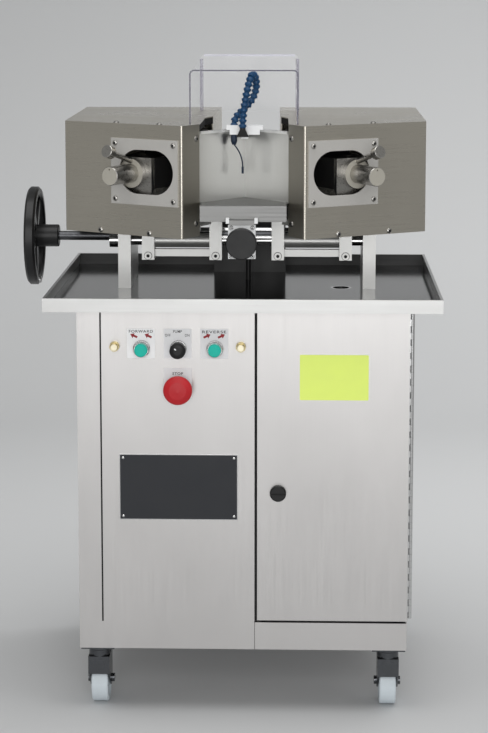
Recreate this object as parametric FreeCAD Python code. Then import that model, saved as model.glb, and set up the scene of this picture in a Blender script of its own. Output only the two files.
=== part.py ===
import FreeCAD, Part
import math
import os

# Floor-standing wet knife sharpener: a stainless cabinet on castors carries a drip tray,
# and two yawed housings above the tray hold the grinding spindles.
# Millimetres, +Z up, +Y away from the user, the user's left is -X.

# Sheet metal and fits
sheet = 2.0
running_gap = 0.05
face_gap = 0.3
seat_gap = 0.2

# Castors
castor_height = 126.0
castor_wheel_diameter = 88.0
castor_tread = 31.0
castor_trail = 32.0
castor_inset_x = 33.0
castor_inset_y = 40.5
castor_plate_x = 62.0
castor_plate_y = 72.0
castor_plate_thickness = 4.0
castor_race_diameter = 54.0
castor_race_height = 8.0
castor_neck_diameter = 40.0
castor_crown_thickness = 4.0
castor_crown_above_wheel = 10.0
castor_fork_wall = 3.0
castor_fork_front = 21.0
castor_skirt_depth = 34.0
castor_side_gap = 1.5
castor_axle_diameter = 10.0
castor_nut_length = 5.0
king_pin_diameter = 12.0

# Cabinet
cabinet_width = 610.0
cabinet_depth = 538.0
cabinet_height = 642.0
stile_width = 42.0
slit_width = 3.0
panel_right_edge = 21.5
backing_strip_width = 46.0
mullion_width = 36.0
mullion_depth = 24.0
rail_height = 52.0
back_opening_width = 480.0
back_opening_height = 500.0
back_opening_low = 74.0
rear_panel_overlap = 15.0

# Door, continuous hinge and latch
door_gap_side = 5.0
door_gap_bottom = 4.0
door_gap_top = 4.0
door_depth = 20.0
stop_lip_width = 12.5
stop_lip_gap = 3.0
hinge_leaf_thickness = 1.2
hinge_leaf_width = 26.0
hinge_knuckle_diameter = 8.0
hinge_pin_diameter = 4.0
hinge_knuckle_count = 47
hinge_end_gap = 2.0
latch_from_door_edge = 38.5
latch_above_door_low = 244.0
latch_knob_diameter = 30.0
latch_knob_length = 10.0
latch_shaft_diameter = 20.0
latch_slot_width = 3.5
latch_slot_depth = 3.0
latch_cam_length = 40.0
latch_cam_width = 16.0
latch_cam_thickness = 3.0

# Controls on the panel
control_row_below_top = 72.0
stop_below_row = 73.4
control_offset = 1.1
button_spacing = 67.2
control_bore = 22.3
collar_diameter = 31.0
collar_flange = 6.0
collar_ring_diameter = 28.6
collar_height = 16.0
collar_floor = 2.0
button_cap_diameter = 23.6
button_cap_thickness = 17.0
button_proud = 10.0
button_travel = 4.0
button_stem_diameter = 18.0
barrel_length = 29.0
stop_cap_diameter = 53.0
stop_cap_thickness = 14.5
stop_travel = 5.0
selector_diameter = 29.4
selector_length = 16.0
selector_dome = 3.0
selector_dome_rim = 4.0
contact_block_width = 30.0
contact_block_height = 42.0
contact_block_depth = 40.0
thumbscrew_diameter = 13.0
thumbscrew_head = 20.0
thumbscrew_ferrule_diameter = 18.0
thumbscrew_ferrule = 5.0
thumbscrew_above_row = 4.0
thumbscrew_shank = 6.0
thumbscrew_shank_length = 14.0
thumbscrew_inset = 25.0

# Tray and drain
tray_width = 726.0
tray_depth = 610.0
tray_rim = 25.0
tray_hem = 5.0
drain_x = 183.5
drain_y = -7.0
drain_bore = 32.0
drain_wall = 4.0
drain_length = 90.0

# Coolant tank, pump and electrical box inside the cabinet
tank_length = 250.0
tank_depth = 340.0
tank_height = 270.0
tank_wall = 4.0
tank_side_gap = 12.0
tank_back_gap = 17.0
pump_diameter = 96.0
pump_height = 150.0
pump_column = 40.0
pump_column_depth = 200.0
pump_offset_x = -10.0
pump_y = 160.0
pump_outlet_height = 55.0
electrical_box_width = 150.0
electrical_box_depth = 230.0
electrical_box_height = 250.0
electrical_box_low = 350.0
electrical_box_y = -30.0
electrical_box_wall = 2.0
gland_from_side = 105.0
gland_height = 36.0
gland_bore = 10.0
gland_body = 20.0
gland_flange = 30.0
gland_length = 34.0
gland_flange_thickness = 7.0

# Side plates, guide rods, lead screw and handwheel
side_plate_thickness = 24.5
side_plate_depth = 178.0
side_plate_front = -25.0
side_plate_inner = 225.0
rod_above_tray = 91.0
rod_diameter = 19.0
rod_spacing = 128.0
rod_collar_diameter = 28.0
rod_collar_length = 18.0
lead_screw_diameter = 18.0
handwheel_diameter = 194.0
handwheel_rim_width = 21.0
handwheel_rim_thickness = 17.0
handwheel_centre_x = -422.5
handwheel_hub_diameter = 44.0
handwheel_hub_end = 48.5
handwheel_spokes = 5
handwheel_spoke_width = 15.0
handwheel_spoke_thickness = 10.0
pedestal_width = 146.0
pedestal_thickness = 12.0
pedestal_y = 199.0

# Housings
face_yaw = 30.0
housing_above_tray = 125.0
housing_height = 207.0
housing_outer_x = 339.0
housing_back_y = 278.0
corner_x = 111.0
corner_y = -250.0
return_length = 58.0
notch_x = 80.0
notch_y = -38.0
rear_inner_front_x = 66.0
rear_inner_front_y = 6.0
rear_inner_back_x = 60.0
base_plate_thickness = 12.0
base_rim = 16.0
fold_radius = 4.0
splash_strip_thickness = 3.0
splash_strip_above_wheel = 1.5

# Slot plates and screws on the housings
slot_plate_width = 148.0
slot_plate_height = 122.0
slot_plate_thickness = 3.0
slot_plate_outer = 39.0
slot_length = 120.0
slot_height = 82.0
slot_outer = 21.0
slot_plate_low = 58.0
housing_cutout_margin = 8.0
screw_inset = 9.5
plate_screw_diameter = 10.0
housing_screw_diameter = 11.0
screw_head_height = 3.0
front_screw_positions = (-66.0, 44.0)
top_screw_positions = (-36.0, 60.0)
top_screw_setback = 11.0
return_screw_setback = 12.0
return_screw_heights = (24.0, 181.0)

# Spindle units, measured from the housing's front face along the spindle
spindle_from_corner = 117.2
spindle_above_base = 115.0
spindle_diameter = 20.0
spindle_knob_diameter = 35.0
spindle_knob_reach = 63.0
spindle_knob_mark = 3.0
spindle_mark_radius = 12.0
lock_ring_diameter = 54.0
lock_ring_front = 4.5
motor_front = 14.0
motor_length = 130.0
face_plate_thickness = 10.0
motor_width = 80.0
motor_height = 57.4
motor_boss_diameter = 28.0
lever_diameter = 10.0
lever_root_radius = 17.0
lever_end_rise = 42.0
lever_reach = 54.0
lever_knob_diameter = 23.5
lever_knob_length = 15.0
wheel_diameter = 152.0
wheel_thickness = 18.0
wheel_spacer = 3.0
wheel_count = 3
wheel_start = 156.0
wheel_collar_diameter = 44.0
spindle_nut_length = 9.0

# Carriages on the guide rods
carriage_travel = 30.0
block_outer_x = 191.5
block_inner_x = 60.3
block_width = 24.0
block_depth = 44.0
block_bottom = 36.0
sleeve_diameter = 28.0
tie_bar_height = 14.0
tie_bar_thickness = 12.0
tie_bar_low = 31.0
clamp_screw_diameter = 14.0
clamp_screw_head = 3.0
clamp_screw_low = 28.0
slider_width = 40.0
slider_depth = 44.0
slider_drop = 21.0
nut_width = 30.0
nut_depth = 36.0
nut_drop = 18.0
carriage_plate_thickness = 12.0
bed_clearance = 3.0
saddle_thickness = 12.0
riser_width = 60.0
riser_length = 110.0

# Blade chamber between the housings
chamber_apex_y = -105.0
chamber_floor = 62.0
chamber_wall_height = 131.0
chamber_front_y = -252.0
chamber_front_half_width = 79.0
apron_height = 29.0
chamber_flange = 30.0
chamber_flange_low = 12.0
rail_width = 7.0

# Guide block and knob at the front of the chamber
guide_x = -2.0
guide_width = 50.0
guide_height = 62.0
guide_thickness = 12.0
guide_bar_height = 9.0
guide_bar_width = 46.0
guide_end_width = 6.0
guide_end_rise = 3.0
guide_bar_depth = 16.0
guide_knob_diameter = 56.0
guide_knob_length = 20.0
guide_stem_diameter = 26.0
guide_stem_length = 8.0
guide_shaft_diameter = 12.0

# Clear cover
cover_width = 200.0
cover_front = -206.0
cover_depth = 380.0
cover_height = 100.0
cover_back_rise = 13.0
cover_wall = 4.0
cover_bend = 9.0

# Coolant manifold, hose and drip tube
manifold_half_width = 34.0
manifold_step = 6.0
manifold_front = -152.0
manifold_low = 9.0
manifold_top_above_wall = 8.0
manifold_boss_width = 13.0
manifold_boss_drop = 8.0
stub_diameter = 10.0
stub_drop = 11.5
stub_length = 8.0
supply_above_tank = 162.0
supply_bend = 22.0
hose_diameter = 14.6
hose_neck_share = 0.74
hose_bore = 6.0
hose_link_pitch = 9.6
hose_points = (
    (-20.0, -133.0, 0.0), (-19.8, -132.8, 6.0), (-15.0, -129.0, 16.0), (-3.5, -124.0, 28.0), (9.5, -121.0, 42.0),
    (18.5, -121.0, 60.0), (20.5, -126.0, 80.0), (14.5, -142.0, 94.0), (8.0, -156.0, 79.0),
    (1.5, -161.5, 48.0), (-2.5, -163.5, 19.0), (-3.4, -164.0, 6.0), (-3.5, -164.0, 0.0),
)
nozzle_top_width = 10.0
nozzle_width = 23.0
nozzle_depth = 11.0
nozzle_height = 14.0
nozzle_socket_height = 6.0
drip_x = -20.0
drip_y = -147.0
drip_fitting_diameter = 12.0
drip_fitting_length = 19.0
drip_tube_diameter = 2.6
drip_tube_drop = 41.0
drip_tube_shift = 16.0
drip_tip_diameter = 4.2
drip_tip_length = 13.0

# Levels and faces that follow from the sizes above
half_width = cabinet_width / 2
half_depth = cabinet_depth / 2
front_y = -half_depth
cabinet_bottom = castor_height
cabinet_top = cabinet_bottom + cabinet_height
tray_floor = cabinet_top + sheet
rod_z = tray_floor + rod_above_tray
housing_bottom = tray_floor + housing_above_tray
housing_top = housing_bottom + housing_height
base_low = housing_bottom
base_top = base_low + base_plate_thickness
spindle_z = housing_bottom + spindle_above_base
screw_y = rod_spacing / 2
supply_y = rod_spacing * 0.75
panel_back = front_y + sheet
panel_left = -half_width + stile_width + slit_width
pump_x = (panel_left + panel_right_edge) / 2 + control_offset
control_row_height = cabinet_top - control_row_below_top
stop_height = control_row_height - stop_below_row
thumbscrew_height = control_row_height + thumbscrew_above_row
gland_x = -half_width + gland_from_side
door_left = panel_right_edge + door_gap_side
door_low = cabinet_bottom + rail_height + door_gap_bottom
door_top = cabinet_top - door_gap_top
door_back = front_y + door_depth
hinge_x = half_width + hinge_leaf_thickness + face_gap + hinge_knuckle_diameter / 2
hinge_y = door_back - hinge_knuckle_diameter / 2
latch_x = door_left + latch_from_door_edge
latch_height = door_low + latch_above_door_low
stop_lip_y = door_back + stop_lip_gap
latch_cam_y = stop_lip_y + sheet + face_gap * 4
tank_x = half_width - sheet - tank_side_gap - tank_length / 2
tank_centre_y = half_depth - sheet - tank_back_gap - tank_depth / 2
tank_low = cabinet_bottom + sheet
tank_top = tank_low + tank_height
pump_x_place = tank_x + pump_offset_x
supply_low = tank_top + supply_above_tank
chamber_floor_z = housing_bottom + chamber_floor
chamber_top_z = chamber_floor_z + chamber_wall_height
manifold_low_z = chamber_top_z - manifold_low
manifold_top_z = chamber_top_z + manifold_top_above_wall
guide_bar_low = chamber_floor_z - apron_height - guide_bar_height / 2
guide_top = guide_bar_low
guide_knob_z = guide_top - guide_height / 2
guide_front = chamber_front_y - sheet - guide_thickness
handwheel_reach = -handwheel_centre_x + handwheel_rim_width / 2
origin_shift = (handwheel_reach - tray_width / 2) / 2
spindle_end = wheel_start + wheel_count * wheel_thickness + (wheel_count - 1) * wheel_spacer

UP = FreeCAD.Vector(0, 0, 1)
BACK = FreeCAD.Vector(0, 1, 0)
RIGHT = FreeCAD.Vector(1, 0, 0)


def point(x, y, z=0.0):
    return FreeCAD.Vector(x, y, z)


def box(x0, x1, y0, y1, z0, z1):
    """Block between two corners."""
    return Part.makeBox(x1 - x0, y1 - y0, z1 - z0, point(x0, y0, z0))


def rod(start, direction, diameter, length):
    """Solid cylinder from start along direction."""
    return Part.makeCylinder(diameter / 2, length, start, direction)


def prism(corners, low, high):
    """Upright prism over a plan outline."""
    outline = [point(x, y, low) for x, y in corners]
    face = Part.Face(Part.makePolygon(outline + outline[:1]))
    return face.extrude(UP * (high - low))


def turned(profile, start, direction):
    """Body of revolution from (distance along the axis, radius) pairs."""
    outline = [point(radius, 0, along) for along, radius in profile]
    face = Part.Face(Part.makePolygon(outline + outline[:1]))
    body = face.revolve(point(0, 0, 0), UP, 360)
    body.Placement = FreeCAD.Placement(start, FreeCAD.Rotation(UP, direction))
    return body


def mirrored(shape):
    """The other side's copy across the machine's middle plane."""
    return shape.mirror(point(0, 0, 0), RIGHT)


def fused(first, *others):
    """One clean solid from touching pieces."""
    return first.fuse(list(others)).removeSplitter()


def side_step(first, second, distance):
    """Offset to the left of the way from first to second, in plan."""
    dx = second[0] - first[0]
    dy = second[1] - first[1]
    length = math.hypot(dx, dy)
    return (-dy / length * distance, dx / length * distance)


def offset_path(path, distance):
    """Open plan path moved to its left by distance, with mitred corners."""
    moved = []
    for index, (x, y) in enumerate(path):
        steps = []
        if index > 0:
            steps.append(side_step(path[index - 1], path[index], distance))
        if index < len(path) - 1:
            steps.append(side_step(path[index], path[index + 1], distance))
        sum_x = sum(step[0] for step in steps)
        sum_y = sum(step[1] for step in steps)
        scale = len(steps) * distance * distance / (sum_x * sum_x + sum_y * sum_y)
        moved.append((x + sum_x * scale, y + sum_y * scale))
    return moved


def ribbon(path, thickness, low, high):
    """Sheet wall standing on a plan path, its thickness to the left of the path."""
    return prism(list(path) + offset_path(path, thickness)[::-1], low, high)


def face_point(across, deep):
    """Plan place on the left unit: across the front face from the spindle, and deep behind it."""
    yaw = math.radians(face_yaw)
    axis_x = -corner_x - spindle_from_corner * math.cos(yaw)
    axis_y = corner_y + spindle_from_corner * math.sin(yaw)
    x = axis_x + across * math.cos(yaw) + deep * math.sin(yaw)
    y = axis_y - across * math.sin(yaw) + deep * math.cos(yaw)
    return (x, y)


def spindle_point(across, deep, rise=0.0):
    """Place on the left unit, with rise above the spindle axis."""
    x, y = face_point(across, deep)
    return point(x, y, spindle_z + rise)


def spindle_direction():
    yaw = math.radians(face_yaw)
    return point(math.sin(yaw), math.cos(yaw), 0)


def yawed_block(across0, across1, deep0, deep1, low, high):
    """Block squared to the left unit's front face."""
    corners = ((across0, deep0), (across1, deep0), (across1, deep1), (across0, deep1))
    return prism([face_point(across, deep) for across, deep in corners], low, high)


def housing_outline():
    """Plan corners of the left housing: outer front, inner front, return end, notch and back."""
    outer_across = spindle_from_corner - (housing_outer_x - corner_x) / math.cos(math.radians(face_yaw))
    return {
        "outer_front": face_point(outer_across, 0),
        "inner_front": face_point(spindle_from_corner, 0),
        "return_end": face_point(spindle_from_corner, return_length),
        "notch": (-notch_x, notch_y),
        "rear_inner_front": (-rear_inner_front_x, rear_inner_front_y),
        "rear_inner_back": (-rear_inner_back_x, housing_back_y),
        "outer_back": (-housing_outer_x, housing_back_y),
    }


def slot_shape(margin, deep0, deep1):
    """Obround through the front face, grown by margin."""
    radius = slot_height / 2 + margin
    middle = slot_plate_low_z() + slot_plate_height / 2
    first = -slot_outer + slot_height / 2
    last = first + slot_length - slot_height
    ends = []
    for across in (first, last):
        x, y = face_point(across, deep0)
        ends.append(rod(point(x, y, middle), spindle_direction(), radius * 2, deep1 - deep0))
    bar = yawed_block(first, last, deep0, deep1, middle - radius, middle + radius)
    return ends[0].fuse([bar, ends[1]]).removeSplitter()


def slot_plate_low_z():
    return housing_bottom + slot_plate_low


def cabinet_shell():
    """Folded cabinet: floor, sides, back, left stile, door rail and mullion."""
    low = cabinet_bottom
    floor_top = low + sheet
    back = half_depth - sheet
    pieces = [
        box(-half_width, half_width, door_back + sheet, half_depth, low, floor_top),
        box(-half_width, half_width, panel_back, door_back + sheet, low, floor_top),
        box(-half_width, -half_width + sheet, front_y, half_depth, low, cabinet_top),
        box(half_width - sheet, half_width, door_back + sheet, half_depth, low, cabinet_top),
        box(half_width - sheet, half_width, front_y, half_depth, low, low + rail_height),
        box(-half_width, half_width, back, half_depth, low, cabinet_top),
        box(-half_width, -half_width + stile_width, front_y, panel_back, low, cabinet_top),
        box(-half_width, -half_width + stile_width + backing_strip_width, panel_back, panel_back + sheet,
            low, cabinet_top),
        box(panel_right_edge, half_width, front_y, panel_back, low, low + rail_height),
        box(panel_right_edge - mullion_width, panel_right_edge, panel_back, panel_back + sheet,
            low, cabinet_top),
        box(panel_right_edge - sheet, panel_right_edge + stop_lip_width, panel_back, panel_back + sheet,
            low, low + rail_height),
        box(panel_right_edge - sheet, panel_right_edge, panel_back, stop_lip_y + sheet, low, cabinet_top),
        box(panel_right_edge - sheet, panel_right_edge + stop_lip_width, stop_lip_y, stop_lip_y + sheet,
            low, cabinet_top),
    ]
    shell = fused(*pieces)
    opening_low = low + back_opening_low
    opening = box(-back_opening_width / 2, back_opening_width / 2, back - sheet, half_depth + sheet,
                  opening_low, opening_low + back_opening_height)
    gland_hole = rod(point(gland_x, back - sheet, low + gland_height), BACK, gland_body + seat_gap, sheet * 3)
    shell = shell.cut([opening, gland_hole])
    for x in thumbscrew_places():
        hole = rod(point(x, front_y, thumbscrew_height), BACK, thumbscrew_shank + seat_gap, sheet * 3)
        shell = shell.cut(hole)
    return shell.removeSplitter()


def rear_panel():
    """Removable cover over the opening in the cabinet's back."""
    low = cabinet_bottom + back_opening_low - rear_panel_overlap
    high = low + back_opening_height + rear_panel_overlap * 2
    half = back_opening_width / 2 + rear_panel_overlap
    return box(-half, half, half_depth, half_depth + sheet, low, high)


def control_places():
    """Control name to its place on the panel."""
    return {
        "forward": (pump_x - button_spacing, control_row_height),
        "reverse": (pump_x + button_spacing, control_row_height),
        "pump": (pump_x, control_row_height),
        "stop": (pump_x, stop_height),
    }


def thumbscrew_places():
    return (panel_left + thumbscrew_inset, panel_right_edge - thumbscrew_inset)


def control_panel():
    """Front sheet on the left, drilled for the controls and its two thumbscrews."""
    panel = box(panel_left, panel_right_edge, front_y, panel_back, cabinet_bottom, cabinet_top - door_gap_top)
    lower_lap = box(panel_left - slit_width, panel_left, front_y, panel_back,
                    cabinet_bottom, cabinet_bottom + rail_height)
    panel = fused(panel, lower_lap)
    for x, z in control_places().values():
        panel = panel.cut(rod(point(x, front_y, z), BACK, control_bore, sheet))
    for x in thumbscrew_places():
        hole = rod(point(x, front_y, thumbscrew_height), BACK, thumbscrew_shank + seat_gap, sheet)
        panel = panel.cut(hole)
    return panel


def button_collars():
    """Threaded barrels with bright collars, one for each control."""
    collars = []
    stem_bore = button_stem_diameter / 2 + running_gap
    cap_bore = button_cap_diameter / 2 + face_gap
    for x, z in control_places().values():
        profile = (
            (-collar_height, cap_bore), (-collar_height, collar_ring_diameter / 2 - 1),
            (1 - collar_height, collar_ring_diameter / 2), (-collar_flange, collar_ring_diameter / 2),
            (-collar_flange, collar_diameter / 2 - 1), (1 - collar_flange, collar_diameter / 2),
            (0, collar_diameter / 2),
            (0, control_bore / 2 - seat_gap), (barrel_length, control_bore / 2 - seat_gap),
            (barrel_length, stem_bore), (-collar_floor, stem_bore), (-collar_floor, cap_bore),
        )
        collars.append(turned(profile, point(x, front_y, z), BACK))
    return collars


def contact_blocks():
    """Switch blocks behind the barrels."""
    blocks = []
    back = front_y + barrel_length
    for x, z in control_places().values():
        blocks.append(box(x - contact_block_width / 2, x + contact_block_width / 2, back,
                          back + contact_block_depth, z - contact_block_height / 2, z + contact_block_height / 2))
    return blocks


def push_button(name):
    """Flush cap on a stem that runs in the collar's barrel."""
    x, z = control_places()[name]
    front = -collar_height - button_proud
    rim = button_cap_diameter / 2
    stem = button_stem_diameter / 2
    stem_end = barrel_length - button_travel - 1
    profile = ((front, 0), (front, rim - 2), (front + 1, rim), (front + button_cap_thickness, rim),
               (front + button_cap_thickness, stem), (stem_end, stem), (stem_end, 0))
    return turned(profile, point(x, front_y, z), BACK)


def stop_button():
    """Mushroom head on a stem."""
    x, z = control_places()["stop"]
    back = -collar_height - stop_travel - face_gap
    front = back - stop_cap_thickness
    rim = stop_cap_diameter / 2
    stem = button_stem_diameter / 2
    stem_end = barrel_length - stop_travel - 1
    profile = ((front, 0), (front + 1, rim * 0.6), (front + 4, rim - 3), (front + 7, rim), (back - 2, rim),
               (back, rim - 2), (back, stem), (stem_end, stem), (stem_end, 0))
    return turned(profile, point(x, front_y, z), BACK)


def pump_selector():
    """Round selector knob with a domed front."""
    x, z = control_places()["pump"]
    front = -collar_height - selector_length
    stem_end = barrel_length - 1
    stem = button_stem_diameter / 2
    rim = selector_diameter / 2
    back = -collar_height - face_gap
    profile = ((front, 0), (front, rim * 0.5), (front + selector_dome / 3, rim - selector_dome_rim),
               (front + selector_dome, rim), (back, rim), (back, stem), (stem_end, stem), (stem_end, 0))
    return turned(profile, point(x, front_y, z), BACK)


def panel_thumbscrews():
    """Two knurled screws that hold the panel."""
    screws = []
    for x in thumbscrew_places():
        radius = thumbscrew_diameter / 2
        shank = thumbscrew_shank / 2
        ferrule = thumbscrew_ferrule_diameter / 2
        profile = ((-thumbscrew_head, 0), (-thumbscrew_head, radius - 1), (1 - thumbscrew_head, radius),
                   (-thumbscrew_ferrule, radius), (1 - thumbscrew_ferrule, ferrule), (0, ferrule), (0, shank),
                   (thumbscrew_shank_length, shank), (thumbscrew_shank_length, 0))
        screws.append(turned(profile, point(x, front_y, thumbscrew_height), BACK))
    return screws


def door():
    """Pan door with returned edges, drilled for the latch."""
    outside = box(door_left, half_width, front_y, door_back, door_low, door_top)
    inside = box(door_left + sheet, half_width - sheet, front_y + sheet, door_back, door_low + sheet, door_top - sheet)
    latch_hole = rod(point(latch_x, front_y, latch_height), BACK, latch_shaft_diameter + running_gap * 2, sheet)
    return outside.cut([inside, latch_hole])


def door_latch():
    """Slotted quarter-turn knob with a cam behind the door, drawn unlocked."""
    start = point(latch_x, front_y, latch_height)
    radius = latch_knob_diameter / 2
    knob_front = -face_gap - latch_knob_length
    shaft = latch_shaft_diameter / 2
    cam_front = latch_cam_y - front_y
    profile = ((knob_front, 0), (knob_front, radius - 2), (knob_front + 2, radius), (-face_gap, radius),
               (-face_gap, shaft), (cam_front, shaft), (cam_front, 0))
    knob = turned(profile, start, BACK)
    slot_low = latch_height - latch_slot_width / 2
    slot = box(latch_x - radius, latch_x + radius, front_y + knob_front, front_y + knob_front + latch_slot_depth,
               slot_low, slot_low + latch_slot_width)
    half = latch_cam_width / 2
    cam = box(latch_x - half, latch_x + half, latch_cam_y, latch_cam_y + latch_cam_thickness,
              latch_height - half, latch_height + latch_cam_length)
    return fused(knob.cut(slot), cam)


def hinge_segments(first):
    """Heights of every second knuckle, from the first one given."""
    low = door_low + hinge_end_gap
    pitch = (door_top - hinge_end_gap - low) / hinge_knuckle_count
    for index in range(first, hinge_knuckle_count, 2):
        yield (low + index * pitch + face_gap / 2, low + (index + 1) * pitch - face_gap / 2)


def hinge_leaf(first, towards_back):
    """One leaf of the continuous hinge with its knuckles."""
    radius = hinge_knuckle_diameter / 2
    bore = hinge_pin_diameter + running_gap * 2
    low = door_low + hinge_end_gap
    high = door_top - hinge_end_gap
    leaf_inner = half_width + hinge_leaf_thickness
    if towards_back:
        leaf = box(half_width, leaf_inner, hinge_y + face_gap, hinge_y + hinge_leaf_width, low, high)
    else:
        leaf = box(half_width, leaf_inner, front_y + face_gap, hinge_y - face_gap, low, high)
    tab_y = (hinge_y, hinge_y + radius) if towards_back else (hinge_y - radius, hinge_y)
    pieces = []
    for bottom, top in hinge_segments(first):
        pieces.append(rod(point(hinge_x, hinge_y, bottom), UP, hinge_knuckle_diameter, top - bottom))
        pieces.append(box(half_width, hinge_x - radius / 2, tab_y[0], tab_y[1], bottom, top))
    body = leaf.fuse(pieces)
    return body.cut(rod(point(hinge_x, hinge_y, low), UP, bore, high - low)).removeSplitter()


def door_hinge_pin():
    low = door_low + hinge_end_gap
    return rod(point(hinge_x, hinge_y, low), UP, hinge_pin_diameter, door_top - hinge_end_gap - low)


def castor_places():
    """Castor name to the place of its swivel axis."""
    x = half_width - castor_inset_x
    y = half_depth - castor_inset_y
    return {
        "front_left": (-x, -y),
        "front_right": (x, -y),
        "rear_left": (-x, y),
        "rear_right": (x, y),
    }


def castor_levels():
    """Heights of the race, the fork's top and the crown."""
    race_low = castor_height - castor_plate_thickness - castor_race_height
    crown_low = castor_wheel_diameter + castor_crown_above_wheel
    return race_low, race_low - face_gap, crown_low


def castor_plates():
    """Top plates with the upper race and the king pin."""
    race_low, fork_top, crown_low = castor_levels()
    plate_low = castor_height - castor_plate_thickness
    pin = king_pin_diameter / 2
    head_low = crown_low - face_gap - castor_crown_thickness
    plates = []
    for x, y in castor_places().values():
        plate = box(x - castor_plate_x / 2, x + castor_plate_x / 2, y - castor_plate_y / 2, y + castor_plate_y / 2,
                    plate_low, castor_height)
        profile = ((plate_low, 0), (plate_low, castor_race_diameter / 2), (race_low + 3, castor_race_diameter / 2),
                   (race_low, castor_neck_diameter / 2), (race_low, pin), (crown_low - face_gap, pin),
                   (crown_low - face_gap, pin + 3), (head_low, pin + 3), (head_low, 0))
        plates.append(fused(plate, turned(profile, point(x, y, 0), UP)))
    return plates


def castor_fork(name):
    """Stamped fork with a front skirt and a bright bar, and its bolted axle."""
    x, y = castor_places()[name]
    race_low, fork_top, crown_low = castor_levels()
    crown_top = crown_low + castor_crown_thickness
    axle_z = castor_wheel_diameter / 2
    inner = castor_tread / 2 + castor_side_gap
    outer = inner + castor_fork_wall
    front = y - castor_fork_front
    back = y + castor_trail + castor_axle_diameter
    axle_y = y + castor_trail
    crown = box(x - outer, x + outer, front, back, crown_low, crown_top)
    skirt_low = crown_top - castor_skirt_depth
    skirt = box(x - outer, x + outer, front, front + castor_fork_wall, skirt_low, crown_top)
    bar_low = skirt_low + castor_skirt_depth * 0.5
    bar = box(x - inner * 0.6, x + inner * 0.6, front - 1.5, front, bar_low, bar_low + castor_skirt_depth * 0.3)
    leg_low = axle_z - castor_axle_diameter
    leg_outline = ((front, crown_top), (front, skirt_low), (axle_y - castor_axle_diameter, leg_low), (back, leg_low),
                   (back, crown_top))
    legs = []
    for leg_x in (x - outer, x + inner):
        outline = [point(leg_x, along, height) for along, height in leg_outline]
        face = Part.Face(Part.makePolygon(outline + outline[:1]))
        legs.append(face.extrude(RIGHT * castor_fork_wall))
    neck = rod(point(x, y, crown_top), UP, castor_neck_diameter, fork_top - crown_top)
    fork = fused(crown, skirt, bar, neck, *legs)
    pin_bore = rod(point(x, y, crown_low), UP, king_pin_diameter + running_gap * 2, fork_top - crown_low)
    axle_bore = rod(point(x - outer, axle_y, axle_z), RIGHT, castor_axle_diameter + running_gap * 2, outer * 2)
    axle = rod(point(x - outer, axle_y, axle_z), RIGHT, castor_axle_diameter, outer * 2)
    nuts = []
    for nut_x in (x - outer - castor_nut_length, x + outer):
        nuts.append(rod(point(nut_x, axle_y, axle_z), RIGHT, castor_axle_diameter * 1.6, castor_nut_length))
    return [fork.cut([pin_bore, axle_bore]), fused(axle, *nuts)]


def castor_wheel(name):
    """Nylon wheel with a rounded tread and a stepped hub."""
    x, y = castor_places()[name]
    half = castor_tread / 2
    radius = castor_wheel_diameter / 2
    bore = castor_axle_diameter / 2 + running_gap
    hub = radius * 0.34
    web = half * 0.45
    profile = ((-half, bore), (-half, hub), (-web, hub), (-web, radius * 0.74), (-half, radius * 0.8),
               (-half, radius - 2), (2 - half, radius), (half - 2, radius), (half, radius - 2), (half, radius * 0.8),
               (web, radius * 0.74), (web, hub), (half, hub), (half, bore))
    return turned(profile, point(x, y + castor_trail, radius), RIGHT)


def tray():
    """Folded drip tray with a hemmed rim, a drain seat and a hole for the supply tube."""
    half_x = tray_width / 2
    half_y = tray_depth / 2
    top = cabinet_top + tray_rim
    outside = box(-half_x, half_x, -half_y, half_y, cabinet_top, top)
    inside = box(sheet - half_x, half_x - sheet, sheet - half_y, half_y - sheet, tray_floor, top - sheet)
    mouth = box(tray_hem - half_x, half_x - tray_hem, tray_hem - half_y, half_y - tray_hem, top - sheet, top)
    drain = rod(point(drain_x, drain_y, cabinet_top), UP, drain_bore + drain_wall * 2 + seat_gap, sheet)
    supply = rod(point(0, supply_y, cabinet_top), UP, stub_diameter + seat_gap, sheet)
    return outside.cut([inside, mouth, drain, supply])


def drain_fitting():
    """Flanged drain spigot, flush with the tray floor."""
    inner = drain_bore / 2
    outer = inner + drain_wall
    flange = outer + drain_wall * 2
    profile = ((tray_floor, inner), (tray_floor, outer), (cabinet_top, outer), (cabinet_top, flange),
               (cabinet_top - drain_wall, flange), (cabinet_top - drain_wall, outer),
               (tray_floor - drain_length, outer), (tray_floor - drain_length, inner))
    return turned(profile, point(drain_x, drain_y, 0), UP)


def tank_corners():
    left = tank_x - tank_length / 2
    front = tank_centre_y - tank_depth / 2
    return left, left + tank_length, front, front + tank_depth


def coolant_tank():
    """Lidded tank with an inlet under the drain and a seat for the pump column."""
    left, right, front, back = tank_corners()
    outside = box(left, right, front, back, tank_low, tank_top)
    inside = box(left + tank_wall, right - tank_wall, front + tank_wall, back - tank_wall,
                 tank_low + tank_wall, tank_top - tank_wall)
    inlet = rod(point(drain_x, drain_y, tank_top - tank_wall), UP, drain_bore + drain_wall * 2, tank_wall)
    column = rod(point(pump_x_place, pump_y, tank_top - tank_wall), UP, pump_column + seat_gap, tank_wall)
    return outside.cut([inside, inlet, column])


def coolant_pump():
    """Pump motor on the tank lid, its suction column and its upright outlet."""
    start = point(pump_x_place, pump_y, tank_top)
    radius = pump_diameter / 2
    profile = ((-pump_column_depth, 0), (-pump_column_depth, pump_column / 2), (0, pump_column / 2), (0, radius),
               (pump_height - 8, radius), (pump_height, radius - 10), (pump_height, 0))
    body = turned(profile, start, UP)
    arm_low = tank_top + pump_outlet_height - stub_diameter
    arm = box(pump_x_place - stub_diameter, pump_x_place + stub_diameter, supply_y - stub_diameter, pump_y,
              arm_low, arm_low + stub_diameter)
    return fused(body, arm)


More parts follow.
